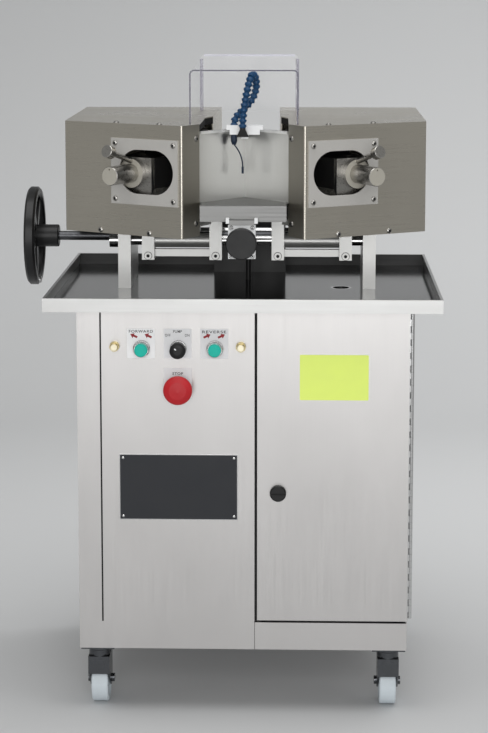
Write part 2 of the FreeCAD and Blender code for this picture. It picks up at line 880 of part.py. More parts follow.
def electrical_box():
    """Switchgear box on the cabinet's left wall, and its lid."""
    left = sheet - half_width
    right = left + electrical_box_width
    low = cabinet_bottom + electrical_box_low
    high = low + electrical_box_height
    front = electrical_box_y - electrical_box_depth / 2
    back = front + electrical_box_depth
    wall = electrical_box_wall
    outside = box(left, right - wall, front, back, low, high)
    inside = box(left + wall, right - wall, front + wall, back - wall, low + wall, high - wall)
    lid = box(right - wall, right, front, back, low, high)
    return [outside.cut(inside), lid]


def cord_gland():
    """Cable gland through the cabinet's back."""
    start = point(gland_x, half_depth, cabinet_bottom + gland_height)
    bore = gland_bore / 2
    body = gland_body / 2
    flange = gland_flange / 2
    inside = -sheet - gland_flange_thickness
    profile = ((gland_length - 6, bore + 3), (gland_length, bore + 2), (gland_length, bore), (inside, bore),
               (inside, flange), (-sheet, flange), (-sheet, body), (0, body), (0, flange),
               (gland_flange_thickness, flange), (gland_flange_thickness, body), (gland_length - 6, body))
    return turned(profile[2:] + profile[:2], start, BACK)


def side_plates():
    """Upright plates on the tray that carry the rods and the housings."""
    plates = []
    outer = side_plate_inner + side_plate_thickness
    for low_x, bore_gap in ((-outer, running_gap), (side_plate_inner, running_gap)):
        plate = box(low_x, low_x + side_plate_thickness, side_plate_front, side_plate_front + side_plate_depth,
                    tray_floor, base_low)
        for rod_y in (0.0, rod_spacing):
            plate = plate.cut(rod(point(low_x, rod_y, rod_z), RIGHT, rod_diameter + bore_gap * 2,
                                  side_plate_thickness))
        plates.append(plate.cut(rod(point(low_x, screw_y, rod_z), RIGHT, lead_screw_diameter + bore_gap * 2,
                                    side_plate_thickness)))
    return plates


def guide_rods():
    """Two guide rods, and the collar on the front rod's left end."""
    outer = side_plate_inner + side_plate_thickness
    rods = []
    for rod_y in (0.0, rod_spacing):
        rods.append(rod(point(-outer - rod_collar_length, rod_y, rod_z), RIGHT, rod_diameter,
                        outer * 2 + rod_collar_length))
    for rod_y in (0.0, rod_spacing):
        collar = rod(point(-outer - rod_collar_length, rod_y, rod_z), RIGHT, rod_collar_diameter, rod_collar_length)
        bore = rod(point(-outer - rod_collar_length, rod_y, rod_z), RIGHT, rod_diameter + running_gap * 2,
                   rod_collar_length)
        rods.append(collar.cut(bore))
    return rods


def lead_screw():
    """Shaft of the handwheel, through both side plates."""
    start = handwheel_centre_x - handwheel_rim_width / 2 + 3
    return rod(point(start, screw_y, rod_z), RIGHT, lead_screw_diameter,
               side_plate_inner + side_plate_thickness - start)


def handwheel():
    """Dished handwheel with a rounded rim, spokes and a long hub."""
    radius = handwheel_diameter / 2
    half = handwheel_rim_width / 2
    inner = radius - handwheel_rim_thickness
    corner = 4.0
    rim_profile = ((-half, inner + corner), (-half, radius - corner), (corner - half, radius), (half - corner, radius),
                   (half, radius - corner), (half, inner + corner), (half - corner, inner), (corner - half, inner))
    centre = point(handwheel_centre_x, screw_y, rod_z)
    rim = turned(rim_profile, centre, RIGHT)
    hub_radius = handwheel_hub_diameter / 2
    hub_profile = ((-half * 0.6, 0), (-half * 0.6, hub_radius - 4), (0, hub_radius), (handwheel_hub_end - 2, hub_radius),
                   (handwheel_hub_end, hub_radius - 2), (handwheel_hub_end, 0))
    hub = turned(hub_profile, centre, RIGHT)
    spokes = []
    for index in range(handwheel_spokes):
        spoke = box(handwheel_centre_x - handwheel_spoke_thickness / 2,
                    handwheel_centre_x + handwheel_spoke_thickness / 2,
                    screw_y - handwheel_spoke_width / 2, screw_y + handwheel_spoke_width / 2,
                    rod_z + hub_radius * 0.5, rod_z + inner + corner)
        spoke.rotate(centre, RIGHT, index * 360.0 / handwheel_spokes + 36)
        spokes.append(spoke)
    wheel = fused(rim, hub, *spokes)
    bore = rod(point(handwheel_centre_x - handwheel_rim_width, screw_y, rod_z), RIGHT,
               lead_screw_diameter + running_gap * 2, handwheel_rim_width + handwheel_hub_end)
    return wheel.cut(bore)


def pedestal_plate():
    """Dark upright plate under the inner edges of both base plates."""
    return box(-pedestal_width / 2, pedestal_width / 2, pedestal_y, pedestal_y + pedestal_thickness,
               tray_floor, base_low)


def housing():
    """Left sheet housing: top, front, return, rear inner, back and outer walls, with rounded front folds."""
    corner = housing_outline()
    wall_path = [corner[name] for name in ("rear_inner_front", "rear_inner_back", "outer_back", "outer_front",
                                           "inner_front", "return_end")]
    top_outline = [corner[name] for name in ("outer_front", "inner_front", "return_end", "notch",
                                             "rear_inner_front", "rear_inner_back", "outer_back")]
    walls = ribbon(wall_path, sheet, housing_bottom, housing_top)
    top = prism(top_outline, housing_top - sheet, housing_top)
    shell = fused(walls, top)
    folds = []
    for name in ("outer_front", "inner_front"):
        x, y = corner[name]
        folds += [edge for edge in shell.Edges if all(math.hypot(vertex.X - x, vertex.Y - y) < face_gap
                                                      for vertex in edge.Vertexes)]
    shell = shell.makeFillet(fold_radius, folds)
    window = box(-rear_inner_front_x - sheet * 2, 0, rear_inner_front_y, carriage_back() + base_rim,
                 base_low, base_top + bed_clearance)
    return shell.cut([slot_shape(housing_cutout_margin, -sheet, sheet * 4), window])


def splash_strip():
    """Black strip under the left housing's top, along its open inner edge and above the wheels."""
    corner = housing_outline()
    path = [corner[name] for name in ("return_end", "notch", "rear_inner_front")]
    low = max(spindle_z + wheel_diameter / 2 + splash_strip_above_wheel, chamber_top_z + seat_gap)
    return ribbon(path, splash_strip_thickness, low, housing_top - sheet).cut(housing())


def base_plate():
    """Plate inside the left housing, cut away where the carriage travels."""
    corner = housing_outline()
    path = [corner[name] for name in ("rear_inner_front", "rear_inner_back", "outer_back", "outer_front",
                                      "inner_front", "return_end")]
    plate = prism(offset_path(path, sheet + seat_gap), base_low, base_top)
    clear = carriage_outline(base_rim / 4)
    swept = []
    for shift in (0.0, carriage_travel):
        swept.append(prism([(x + shift, y) for x, y in clear], base_low, base_top))
    between = []
    for first, second in zip(clear, clear[1:] + clear[:1]):
        cell = [first, second, (second[0] + carriage_travel, second[1]), (first[0] + carriage_travel, first[1])]
        if abs(first[1] - second[1]) > 1:
            between.append(prism(cell, base_low, base_top))
    inner_side = box(-block_inner_x - block_width, 0, face_point(spindle_from_corner, return_length)[1] + base_rim,
                     carriage_back() + base_rim, base_low, base_top)
    return plate.cut(swept + between + [inner_side]).removeSplitter()


def carriage_back():
    return rod_spacing + slider_depth / 2


def carriage_outline(margin):
    """Plan of the left carriage plate: a bed over the rods and a tongue under the spindle motor."""
    half = motor_width / 2 + margin
    left = -block_outer_x - block_width / 2 - margin
    right = -block_inner_x + block_width / 2 + margin
    front = -block_depth / 2 - margin
    back = carriage_back() + margin
    tongue_front = base_rim + 6 - margin
    tongue = [face_point(-half, tongue_front), face_point(half, tongue_front)]
    yaw = math.radians(face_yaw)
    right_reach = (front - tongue[1][1]) / math.cos(yaw)
    right_meet = (tongue[1][0] + right_reach * math.sin(yaw), front)
    left_reach = (left - tongue[0][0]) / math.sin(yaw)
    left_meet = (left, tongue[0][1] + left_reach * math.cos(yaw))
    return [tongue[0], tongue[1], right_meet, (right, front), (right, back), (left, back), left_meet]


def carriage():
    """Left carriage: clamp blocks, sleeve, tie bar, rear slider, nut, plate, and saddle with its face plate."""
    half_depth_of_block = block_depth / 2
    block_low = rod_z - block_bottom
    rod_bore = rod_diameter + running_gap * 2
    sleeve_left = -block_outer_x - block_width / 2
    sleeve_right = -block_inner_x + block_width / 2
    sleeve_length = sleeve_right - sleeve_left
    sleeve_start = point(sleeve_left, 0, rod_z)
    sleeve = rod(sleeve_start, RIGHT, sleeve_diameter, sleeve_length)
    sleeve = sleeve.cut(rod(sleeve_start, RIGHT, rod_bore, sleeve_length))
    pieces = [sleeve]
    for block_x in (-block_outer_x, -block_inner_x):
        block = box(block_x - block_width / 2, block_x + block_width / 2, -half_depth_of_block, half_depth_of_block,
                    block_low, base_low)
        pieces.append(block.cut(rod(sleeve_start, RIGHT, sleeve_diameter + running_gap * 2, sleeve_length)))
        head = rod(point(block_x, -half_depth_of_block - clamp_screw_head, rod_z - clamp_screw_low), BACK,
                   clamp_screw_diameter, clamp_screw_head)
        pieces.append(head)
    tie_low = rod_z - tie_bar_low
    pieces.append(box(-block_outer_x + block_width / 2, -block_inner_x - block_width / 2,
                      -tie_bar_thickness / 2, tie_bar_thickness / 2, tie_low, tie_low + tie_bar_height))
    middle = (-block_outer_x - block_inner_x) / 2
    slider = box(middle - slider_width / 2, middle + slider_width / 2, rod_spacing - slider_depth / 2,
                 rod_spacing + slider_depth / 2, rod_z - slider_drop, base_low)
    pieces.append(slider.cut(rod(point(middle - slider_width, rod_spacing, rod_z), RIGHT, rod_bore,
                                 slider_width * 2)))
    nut = box(middle - nut_width / 2, middle + nut_width / 2, screw_y - nut_depth / 2, screw_y + nut_depth / 2,
              rod_z - nut_drop, base_low)
    pieces.append(nut.cut(rod(point(middle - nut_width, screw_y, rod_z), RIGHT,
                              lead_screw_diameter + running_gap * 2, nut_width * 2)))
    plate_top = base_low + carriage_plate_thickness
    pieces.append(prism(carriage_outline(0), base_low, plate_top))
    motor_low = spindle_z - motor_height / 2
    half = motor_width / 2
    riser_start = motor_front + (motor_length - riser_length) / 2 + 6
    riser = yawed_block(-riser_width / 2, riser_width / 2, riser_start, riser_start + riser_length,
                        plate_top, motor_low - saddle_thickness)
    saddle = yawed_block(-half, half, motor_front, motor_front + motor_length, motor_low - saddle_thickness, motor_low)
    face_plate = yawed_block(-half, half, motor_front, motor_front + face_plate_thickness, motor_low,
                             motor_low + motor_height)
    nose_bore = rod(spindle_point(0, 0), spindle_direction(), motor_boss_diameter + running_gap * 2, motor_length)
    pieces.append(fused(riser, saddle, face_plate.cut(nose_bore)))
    return pieces


def spindle_motor():
    """Left block motor with a round nose through the face plate that carries the lock ring."""
    half = motor_width / 2
    body_front = motor_front + face_plate_thickness
    body = yawed_block(-half, half, body_front, motor_front + motor_length,
                       spindle_z - motor_height / 2, spindle_z + motor_height / 2)
    nose = rod(spindle_point(0, lock_ring_front), spindle_direction(), motor_boss_diameter,
               body_front - lock_ring_front)
    bore = rod(spindle_point(0, 0), spindle_direction(), spindle_diameter + running_gap * 2,
               motor_front + motor_length)
    return fused(body, nose).cut(bore)


def spindle():
    """Left spindle with its front knob, wheel collars and end nut."""
    shaft = spindle_diameter / 2
    knob = spindle_knob_diameter / 2
    collar = wheel_collar_diameter / 2
    knob_back = lock_ring_front - face_gap
    motor_back = motor_front + motor_length + face_gap
    nut_end = spindle_end + spindle_nut_length
    profile = ((-spindle_knob_reach, 0), (-spindle_knob_reach, knob - 1), (1 - spindle_knob_reach, knob),
               (knob_back, knob), (knob_back, shaft), (motor_back, shaft), (motor_back, collar),
               (wheel_start, collar), (wheel_start, shaft), (spindle_end, shaft), (spindle_end, collar * 0.7),
               (nut_end, collar * 0.7), (nut_end, 0))
    body = turned(profile, spindle_point(0, 0), spindle_direction())
    mark = rod(spindle_point(0, -spindle_knob_reach, spindle_mark_radius), spindle_direction(), spindle_knob_mark,
               spindle_knob_mark)
    return body.cut(mark)


def grinding_wheels():
    """Stack of abrasive wheels with spacer rings on the left spindle."""
    solids = []
    bore = spindle_diameter + running_gap * 2
    for index in range(wheel_count):
        start = wheel_start + index * (wheel_thickness + wheel_spacer)
        wheel = rod(spindle_point(0, start), spindle_direction(), wheel_diameter, wheel_thickness)
        solids.append(wheel.cut(rod(spindle_point(0, start), spindle_direction(), bore, wheel_thickness)))
        if index < wheel_count - 1:
            ring_start = start + wheel_thickness
            ring = rod(spindle_point(0, ring_start), spindle_direction(), wheel_collar_diameter, wheel_spacer)
            solids.append(ring.cut(rod(spindle_point(0, ring_start), spindle_direction(), bore, wheel_spacer)))
    return solids


def lock_lever():
    """Left lock ring with its inclined lever and knob."""
    ring_back = motor_front - face_gap
    ring = rod(spindle_point(0, lock_ring_front), spindle_direction(), lock_ring_diameter,
               ring_back - lock_ring_front)
    bore = rod(spindle_point(0, 0), spindle_direction(), motor_boss_diameter + running_gap * 2, motor_front)
    root = spindle_point(0, (lock_ring_front + ring_back) / 2, lever_root_radius + lever_diameter / 2)
    tip = spindle_point(-2, -lever_reach, lever_end_rise)
    way = (tip - root).normalize()
    lever = rod(root, way, lever_diameter, (tip - root).Length)
    knob_profile = ((0, 0), (0, lever_knob_diameter / 2), (lever_knob_length - 1, lever_knob_diameter / 2),
                    (lever_knob_length, lever_knob_diameter / 2 - 1), (lever_knob_length, 0))
    knob = turned(knob_profile, tip, way)
    return fused(ring.cut(bore), lever, knob)


def slot_plate():
    """Left plate round the spindle slot."""
    low = slot_plate_low_z()
    plate = yawed_block(-slot_plate_outer, slot_plate_width - slot_plate_outer, -slot_plate_thickness, 0,
                        low, low + slot_plate_height)
    return plate.cut(slot_shape(0, -slot_plate_thickness * 2, slot_plate_thickness))


def screw_head(start, direction, diameter):
    """Button head standing out of a face along direction."""
    radius = diameter / 2
    profile = ((0, 0), (0, radius), (screw_head_height * 0.5, radius * 0.92), (screw_head_height, radius * 0.55),
               (screw_head_height, 0))
    return turned(profile, start, direction)


def left_screws():
    """Button screws of the left housing and its slot plate."""
    out = spindle_direction() * -1
    low = slot_plate_low_z() + screw_inset
    high = slot_plate_low_z() + slot_plate_height - screw_inset
    heads = []
    for across in (screw_inset - slot_plate_outer, slot_plate_width - slot_plate_outer - screw_inset):
        for z in (low, high):
            x, y = face_point(across, -slot_plate_thickness)
            heads.append(screw_head(point(x, y, z), out, plate_screw_diameter))
    for across in front_screw_positions:
        x, y = face_point(across, 0)
        heads.append(screw_head(point(x, y, (base_low + base_top) / 2), out, housing_screw_diameter))
    for across in top_screw_positions:
        x, y = face_point(across, top_screw_setback)
        heads.append(screw_head(point(x, y, housing_top), UP, housing_screw_diameter))
    yaw = math.radians(face_yaw)
    inward = point(math.cos(yaw), -math.sin(yaw), 0)
    for height in return_screw_heights:
        x, y = face_point(spindle_from_corner, return_length - return_screw_setback)
        heads.append(screw_head(point(x, y, housing_bottom + height), inward, housing_screw_diameter))
    return heads


def chamber_path():
    """Plan path of the chamber wall's front face, from the left flange to the right one."""
    inside = spindle_from_corner - sheet - seat_gap
    left = [face_point(inside, return_length - chamber_flange), face_point(inside, return_length + sheet)]
    right = [(-x, y) for x, y in left[::-1]]
    return left + [(0.0, chamber_apex_y)] + right


def blade_chamber():
    """V-shaped sheet chamber with side flanges, rail, floor and front apron."""
    path = chamber_path()
    flange_low = housing_bottom + chamber_flange_low
    left_flange = ribbon(path[:2], sheet, flange_low, chamber_top_z)
    right_flange = ribbon(path[3:], sheet, flange_low, chamber_top_z)
    walls = ribbon(path[1:4], sheet, chamber_floor_z - sheet, chamber_top_z)
    rail = ribbon(path[1:4], rail_width, chamber_top_z - sheet, chamber_top_z)
    half = chamber_front_half_width
    side_y = chamber_front_at(half)
    floor = prism([(-half, side_y), (-half, chamber_front_y), (half, chamber_front_y), (half, side_y), path[2]],
                  chamber_floor_z - sheet, chamber_floor_z)
    apron = box(-half, half, chamber_front_y - sheet, chamber_front_y, chamber_floor_z - apron_height, chamber_floor_z)
    body = fused(left_flange, right_flange, walls, rail, floor, apron)
    stub = rod(point(0, chamber_apex_y - stub_length * 3, chamber_top_z - stub_drop), BACK, stub_diameter + seat_gap,
               stub_length * 6)
    return body.cut(stub)


def guide_bar():
    """Bar under the apron."""
    back = chamber_front_y - sheet
    return box(guide_x - guide_bar_width / 2, guide_x + guide_bar_width / 2, back - guide_bar_depth, back,
               guide_bar_low, guide_bar_low + guide_bar_height)


def guide_block():
    """End pieces of the bar, and the flanged block that hangs from it."""
    back = chamber_front_y - sheet
    ends = []
    for end_x in (guide_x - guide_bar_width / 2 - guide_end_width, guide_x + guide_bar_width / 2):
        ends.append(box(end_x, end_x + guide_end_width, back - guide_bar_depth, back,
                        guide_bar_low + guide_end_rise, guide_bar_low + guide_bar_height + guide_end_rise))
    block = box(guide_x - guide_width / 2, guide_x + guide_width / 2, guide_front, back,
                guide_top - guide_height, guide_top)
    boss = rod(point(guide_x, guide_front, guide_knob_z), BACK * -1, guide_stem_diameter * 1.6, guide_thickness / 2)
    bore = rod(point(guide_x, guide_front - guide_thickness, guide_knob_z), BACK,
               guide_shaft_diameter + running_gap * 2, guide_thickness * 3)
    return ends + [fused(block, boss).cut(bore)]


def guide_knob():
    """Dark disc knob on a stem and shaft."""
    face = -guide_thickness / 2 - face_gap
    stem_front = face - guide_stem_length
    front = stem_front - guide_knob_length
    radius = guide_knob_diameter / 2
    stem = guide_stem_diameter / 2
    shaft = guide_shaft_diameter / 2
    profile = ((front, 0), (front, radius - 1.5), (front + 1.5, radius), (stem_front - 2, radius),
               (stem_front, radius - 2), (stem_front, stem), (face, stem), (face, shaft), (guide_thickness, shaft),
               (guide_thickness, 0))
    return turned(profile, point(guide_x, guide_front, guide_knob_z), BACK)


def cover_block(inset, back):
    """Solid block of the cover's outline, smaller by the inset, with a top that rises to the back."""
    half = cover_width / 2 - inset
    top = housing_top + cover_height - inset
    rise = cover_back_rise * (back - cover_front) / cover_depth
    side = [point(-half, cover_front, housing_top), point(-half, cover_front, top), point(-half, back, top + rise),
            point(-half, back, housing_top)]
    block = Part.Face(Part.makePolygon(side + side[:1])).extrude(point(half * 2, 0, 0))
    bends = [edge for edge in block.Edges if min(vertex.Z for vertex in edge.Vertexes) > top - 0.01
             and abs(edge.Vertexes[0].X - edge.Vertexes[1].X) < 0.01]
    return block.makeFillet(cover_bend - inset, bends)


def clear_cover():
    """Bent clear cover with a back wall, open at the front and below."""
    back = cover_front + cover_depth
    return cover_block(0, back).cut(cover_block(cover_wall, back - cover_wall))


def chamber_front_at(x):
    """Y of the chamber wall's front face at a place across the machine."""
    corner_place = chamber_path()[1]
    slope = (chamber_apex_y - corner_place[1]) / abs(corner_place[0])
    return chamber_apex_y - abs(x) * slope


def corner_prism(half, back_shift, low, high):
    """Block that fills the chamber's corner, with its back moved by back_shift."""
    edge_y = chamber_front_at(half) - seat_gap + back_shift
    apex_y = chamber_front_at(0) - seat_gap + back_shift
    return prism([(-half, manifold_front), (half, manifold_front), (half, edge_y), (0.0, apex_y), (-half, edge_y)],
                 low, high)


def manifold_block():
    """White stepped block in the corner of the chamber, with the stub that passes through the wall."""
    body = corner_prism(manifold_half_width - manifold_step, 0, manifold_low_z, chamber_top_z)
    lip = corner_prism(manifold_half_width, rail_width, chamber_top_z, manifold_top_z)
    boss = box(-manifold_boss_width / 2, manifold_boss_width / 2, manifold_front,
               chamber_front_at(manifold_boss_width / 2) - seat_gap, manifold_low_z - manifold_boss_drop, manifold_low_z)
    stub_start = manifold_front + sheet
    stub = rod(point(0, stub_start, chamber_top_z - stub_drop), BACK, stub_diameter,
               chamber_apex_y + stub_length - stub_start)
    return fused(body, lip, boss, stub)


def bent_tube(corners, bend, diameter):
    """Tube along straight runs joined by tangent arcs."""
    edges = []
    start = corners[0]
    for before, corner, after in zip(corners, corners[1:], corners[2:]):
        towards = (before - corner).normalize()
        away = (after - corner).normalize()
        half_turn = towards.getAngle(away) / 2
        setback = bend / math.tan(half_turn)
        first = corner + towards * setback
        last = corner + away * setback
        bisector = (towards + away).normalize()
        middle = corner + bisector * (bend / math.sin(half_turn) - bend)
        edges.append(Part.LineSegment(start, first).toShape())
        edges.append(Part.Arc(first, middle, last).toShape())
        start = last
    edges.append(Part.LineSegment(start, corners[-1]).toShape())
    path = Part.Wire(edges)
    way = (corners[1] - corners[0]).normalize()
    section = Part.Wire(Part.Circle(corners[0], way, diameter / 2).toShape())
    return path.makePipeShell([section], True, False)


def supply_tube():
    """Coolant tube from the pump, up through the tray between the slides, to the manifold."""
    level = chamber_top_z - stub_drop
    corners = [
        point(0, chamber_apex_y + stub_length, level),
        point(0, supply_y, level),
        point(0, supply_y, supply_low),
        point(pump_x_place, supply_y, supply_low),
        point(pump_x_place, supply_y, tank_top + pump_outlet_height),
    ]
    return bent_tube(corners, supply_bend, stub_diameter)


def hose_links():
    """Centre, direction and swelling at the four stations of each link, along a smooth curve."""
    curve = Part.BSplineCurve()
    route = [point(x, y, manifold_top_z + rise) for x, y, rise in hose_points]
    curve.interpolate(route)
    links = int(curve.length() / hose_link_pitch)
    pitch = curve.length() / links
    for index in range(links):
        stations = []
        for share, swelling in ((0.0, hose_neck_share), (0.25, 1.0), (0.75, 1.0), (1.0, hose_neck_share)):
            place = curve.parameterAtDistance((index + share) * pitch, curve.FirstParameter)
            stations.append((curve.value(place), curve.tangent(place)[0], swelling))
        yield stations


def link_loft(stations, radius_of):
    """Ruled loft through circles whose start stays on one side of the route."""
    rings = []
    for centre, way, swelling in stations:
        circle = Part.Circle(centre, way, radius_of(swelling))
        circle.XAxis = BACK.cross(way)
        rings.append(Part.Wire(circle.toShape()))
    return Part.makeLoft(rings, True, True)


def coolant_hose():
    """Jointed hose of swelling links with an open bore."""
    links = []
    for stations in hose_links():
        outside = link_loft(stations, lambda swelling: hose_diameter / 2 * swelling)
        bore = link_loft(stations, lambda swelling: hose_bore / 2)
        links.append(outside.cut(bore))
    return links[0].fuse(links[1:]).cut(manifold_block())


def nozzle_top():
    x, y, rise = hose_points[-1]
    return point(x, y, manifold_top_z + rise)


def fan_nozzle():
    """Flat fan nozzle under the hose's free end."""
    top = nozzle_top()
    socket_low = top.z - face_gap - nozzle_socket_height
    socket = rod(point(top.x, top.y, socket_low), UP, hose_diameter * hose_neck_share, nozzle_socket_height)
    low = socket_low - nozzle_height
    outlines = []
    for z, width, depth in ((socket_low, nozzle_top_width, nozzle_depth), (low, nozzle_width, nozzle_depth * 0.55)):
        corners = [point(top.x + sx * width / 2, top.y + sy * depth / 2, z)
                   for sx, sy in ((-1, -1), (1, -1), (1, 1), (-1, 1))]
        outlines.append(Part.makePolygon(corners + corners[:1]))
    return fused(socket, Part.makeLoft(outlines, True, True))


def drip_line():
    """Fitting under the manifold, thin bent tube and its tip."""
    fitting_low = manifold_low_z - drip_fitting_length
    radius = drip_fitting_diameter / 2
    fitting = turned(((0, 0), (0, radius * 0.6), (drip_fitting_length * 0.35, radius),
                      (drip_fitting_length * 0.75, radius), (drip_fitting_length, radius * 0.8),
                      (drip_fitting_length, 0)), point(drip_x, drip_y, fitting_low), UP)
    arc_radius = (drip_tube_drop ** 2 + drip_tube_shift ** 2) / (2 * drip_tube_shift)
    end = point(drip_x + drip_tube_shift, drip_y, fitting_low - drip_tube_drop)
    centre = end - point(arc_radius, 0, 0)
    start = point(drip_x, drip_y, fitting_low)
    half_angle = math.asin(drip_tube_drop / arc_radius) / 2
    middle = centre + point(arc_radius * math.cos(half_angle), 0, arc_radius * math.sin(half_angle))
    path = Part.Wire(Part.Arc(start, middle, end).toShape())
    way = (start - centre).cross(BACK).normalize()
    section = Part.Wire(Part.Circle(start, way, drip_tube_diameter / 2).toShape())
    tube = path.makePipeShell([section], True, False).cut(fitting)
    tip = rod(end, UP * -1, drip_tip_diameter, drip_tip_length)
    return [fitting, tube, tip]


def node(name, *solids):
    """Write one node, with the machine moved so that the origin is under the middle of its box."""
    flat = []
    for solid in solids:
        flat.extend(solid if isinstance(solid, list) else [solid])
    shape = Part.makeCompound(flat) if len(flat) > 1 else flat[0]
    shape = shape.copy()
    shape.translate(point(origin_shift, 0, 0))
    shape.exportStep("parts/" + name + ".step")


def both(shapes):
    """Left pieces followed by their right copies."""
    pieces = shapes if isinstance(shapes, list) else [shapes]
    return pieces + [mirrored(piece) for piece in pieces]


def main():
    os.makedirs("parts", exist_ok=True)
    node("cabinet_shell", cabinet_shell())
    node("rear_panel", rear_panel())
    node("control_panel", control_panel())
    node("button_collars", button_collars())
    node("contact_blocks", contact_blocks())
    node("panel_thumbscrews", panel_thumbscrews())
    node("forward_button", push_button("forward"))
    node("reverse_button", push_button("reverse"))
    node("stop_button", stop_button())
    node("pump_selector", pump_selector())
    node("door", door())
    node("door_latch", door_latch())
    node("door_hinge_cabinet_leaf", hinge_leaf(0, True))
    node("door_hinge_door_leaf", hinge_leaf(1, False))
    node("door_hinge_pin", door_hinge_pin())
    node("castor_plates", castor_plates())
    for name in castor_places():
        node("castor_fork_" + name, castor_fork(name))
        node("castor_wheel_" + name, castor_wheel(name))
    node("tray", tray())
    node("drain_fitting", drain_fitting())
    node("coolant_tank", coolant_tank())
    node("coolant_pump", coolant_pump())
    node("electrical_box", electrical_box())
    node("cord_gland", cord_gland())
    node("side_plates", side_plates())
    node("guide_rods", guide_rods())
    node("lead_screw", lead_screw())
    node("handwheel", handwheel())
    node("pedestal_plate", pedestal_plate())
    for side, place in (("left", list), ("right", lambda pieces: [mirrored(piece) for piece in pieces])):
        node("housing_" + side, place([housing()]))
        node("carriage_" + side, place(carriage()))
        node("spindle_motor_" + side, place([spindle_motor()]))
        node("spindle_" + side, place([spindle()]))
        node("grinding_wheels_" + side, place(grinding_wheels()))
        node("lock_lever_" + side, place([lock_lever()]))
    node("base_plates", both(base_plate()))
    node("slot_plates", both(slot_plate()))
    node("housing_screws", both(left_screws()))
    node("splash_strips", both(splash_strip()))
    node("blade_chamber", blade_chamber(), guide_bar())
    node("guide_block", guide_block())
    node("guide_knob", guide_knob())
    node("clear_cover", clear_cover())
    node("manifold_block", manifold_block())
    node("supply_tube", supply_tube())
    node("coolant_hose", coolant_hose())
    node("fan_nozzle", fan_nozzle())
    node("drip_line", drip_line())


if __name__ == "__main__":
    main()
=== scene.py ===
"""Looks of the floor-standing wet knife sharpener: materials, small pieces, stage and camera."""

import math

import bmesh
import bpy
import numpy as np
from mathutils import Matrix, Vector


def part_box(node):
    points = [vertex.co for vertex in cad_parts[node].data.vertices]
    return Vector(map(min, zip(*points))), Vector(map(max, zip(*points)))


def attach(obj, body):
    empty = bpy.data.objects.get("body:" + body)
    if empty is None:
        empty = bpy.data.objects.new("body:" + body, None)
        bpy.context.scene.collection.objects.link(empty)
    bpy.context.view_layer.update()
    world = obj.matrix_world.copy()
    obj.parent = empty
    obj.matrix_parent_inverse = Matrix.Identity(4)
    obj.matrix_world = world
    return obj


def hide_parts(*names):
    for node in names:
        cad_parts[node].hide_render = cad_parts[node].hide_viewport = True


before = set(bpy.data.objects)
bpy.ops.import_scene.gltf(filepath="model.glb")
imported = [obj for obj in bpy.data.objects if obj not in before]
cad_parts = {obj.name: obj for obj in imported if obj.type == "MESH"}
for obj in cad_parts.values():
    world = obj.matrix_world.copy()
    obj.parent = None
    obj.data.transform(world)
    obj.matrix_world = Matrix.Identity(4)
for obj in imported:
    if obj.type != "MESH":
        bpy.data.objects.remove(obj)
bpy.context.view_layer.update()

bl_info = {
    "name": "Wet knife sharpener",
    "version": (1, 1, 0),
    "blender": (4, 5, 0),
    "location": "View3D > Sidebar > Sharpener",
    "description": "Dresses the packed sharpener with materials and small pieces",
    "category": "Object",
}

MM = 0.001
BACK = Vector((0, 1, 0))
RIGHT = Vector((1, 0, 0))


def srgb(text, alpha=1.0):
    """Linear colour from a six-digit sRGB hex text."""
    channels = [int(text[index:index + 2], 16) / 255 for index in (0, 2, 4)]
    linear = [c / 12.92 if c <= 0.04045 else ((c + 0.055) / 1.055) ** 2.4 for c in channels]
    return (*linear, alpha)


def colour_property(name, text, description):
    return bpy.props.FloatVectorProperty(
        name=name, description=description, subtype="COLOR", size=4, min=0, max=1, default=srgb(text))


def length_property(name, value, description):
    return bpy.props.FloatProperty(
        name=name, description=description, default=value, min=0, unit="LENGTH", precision=4)


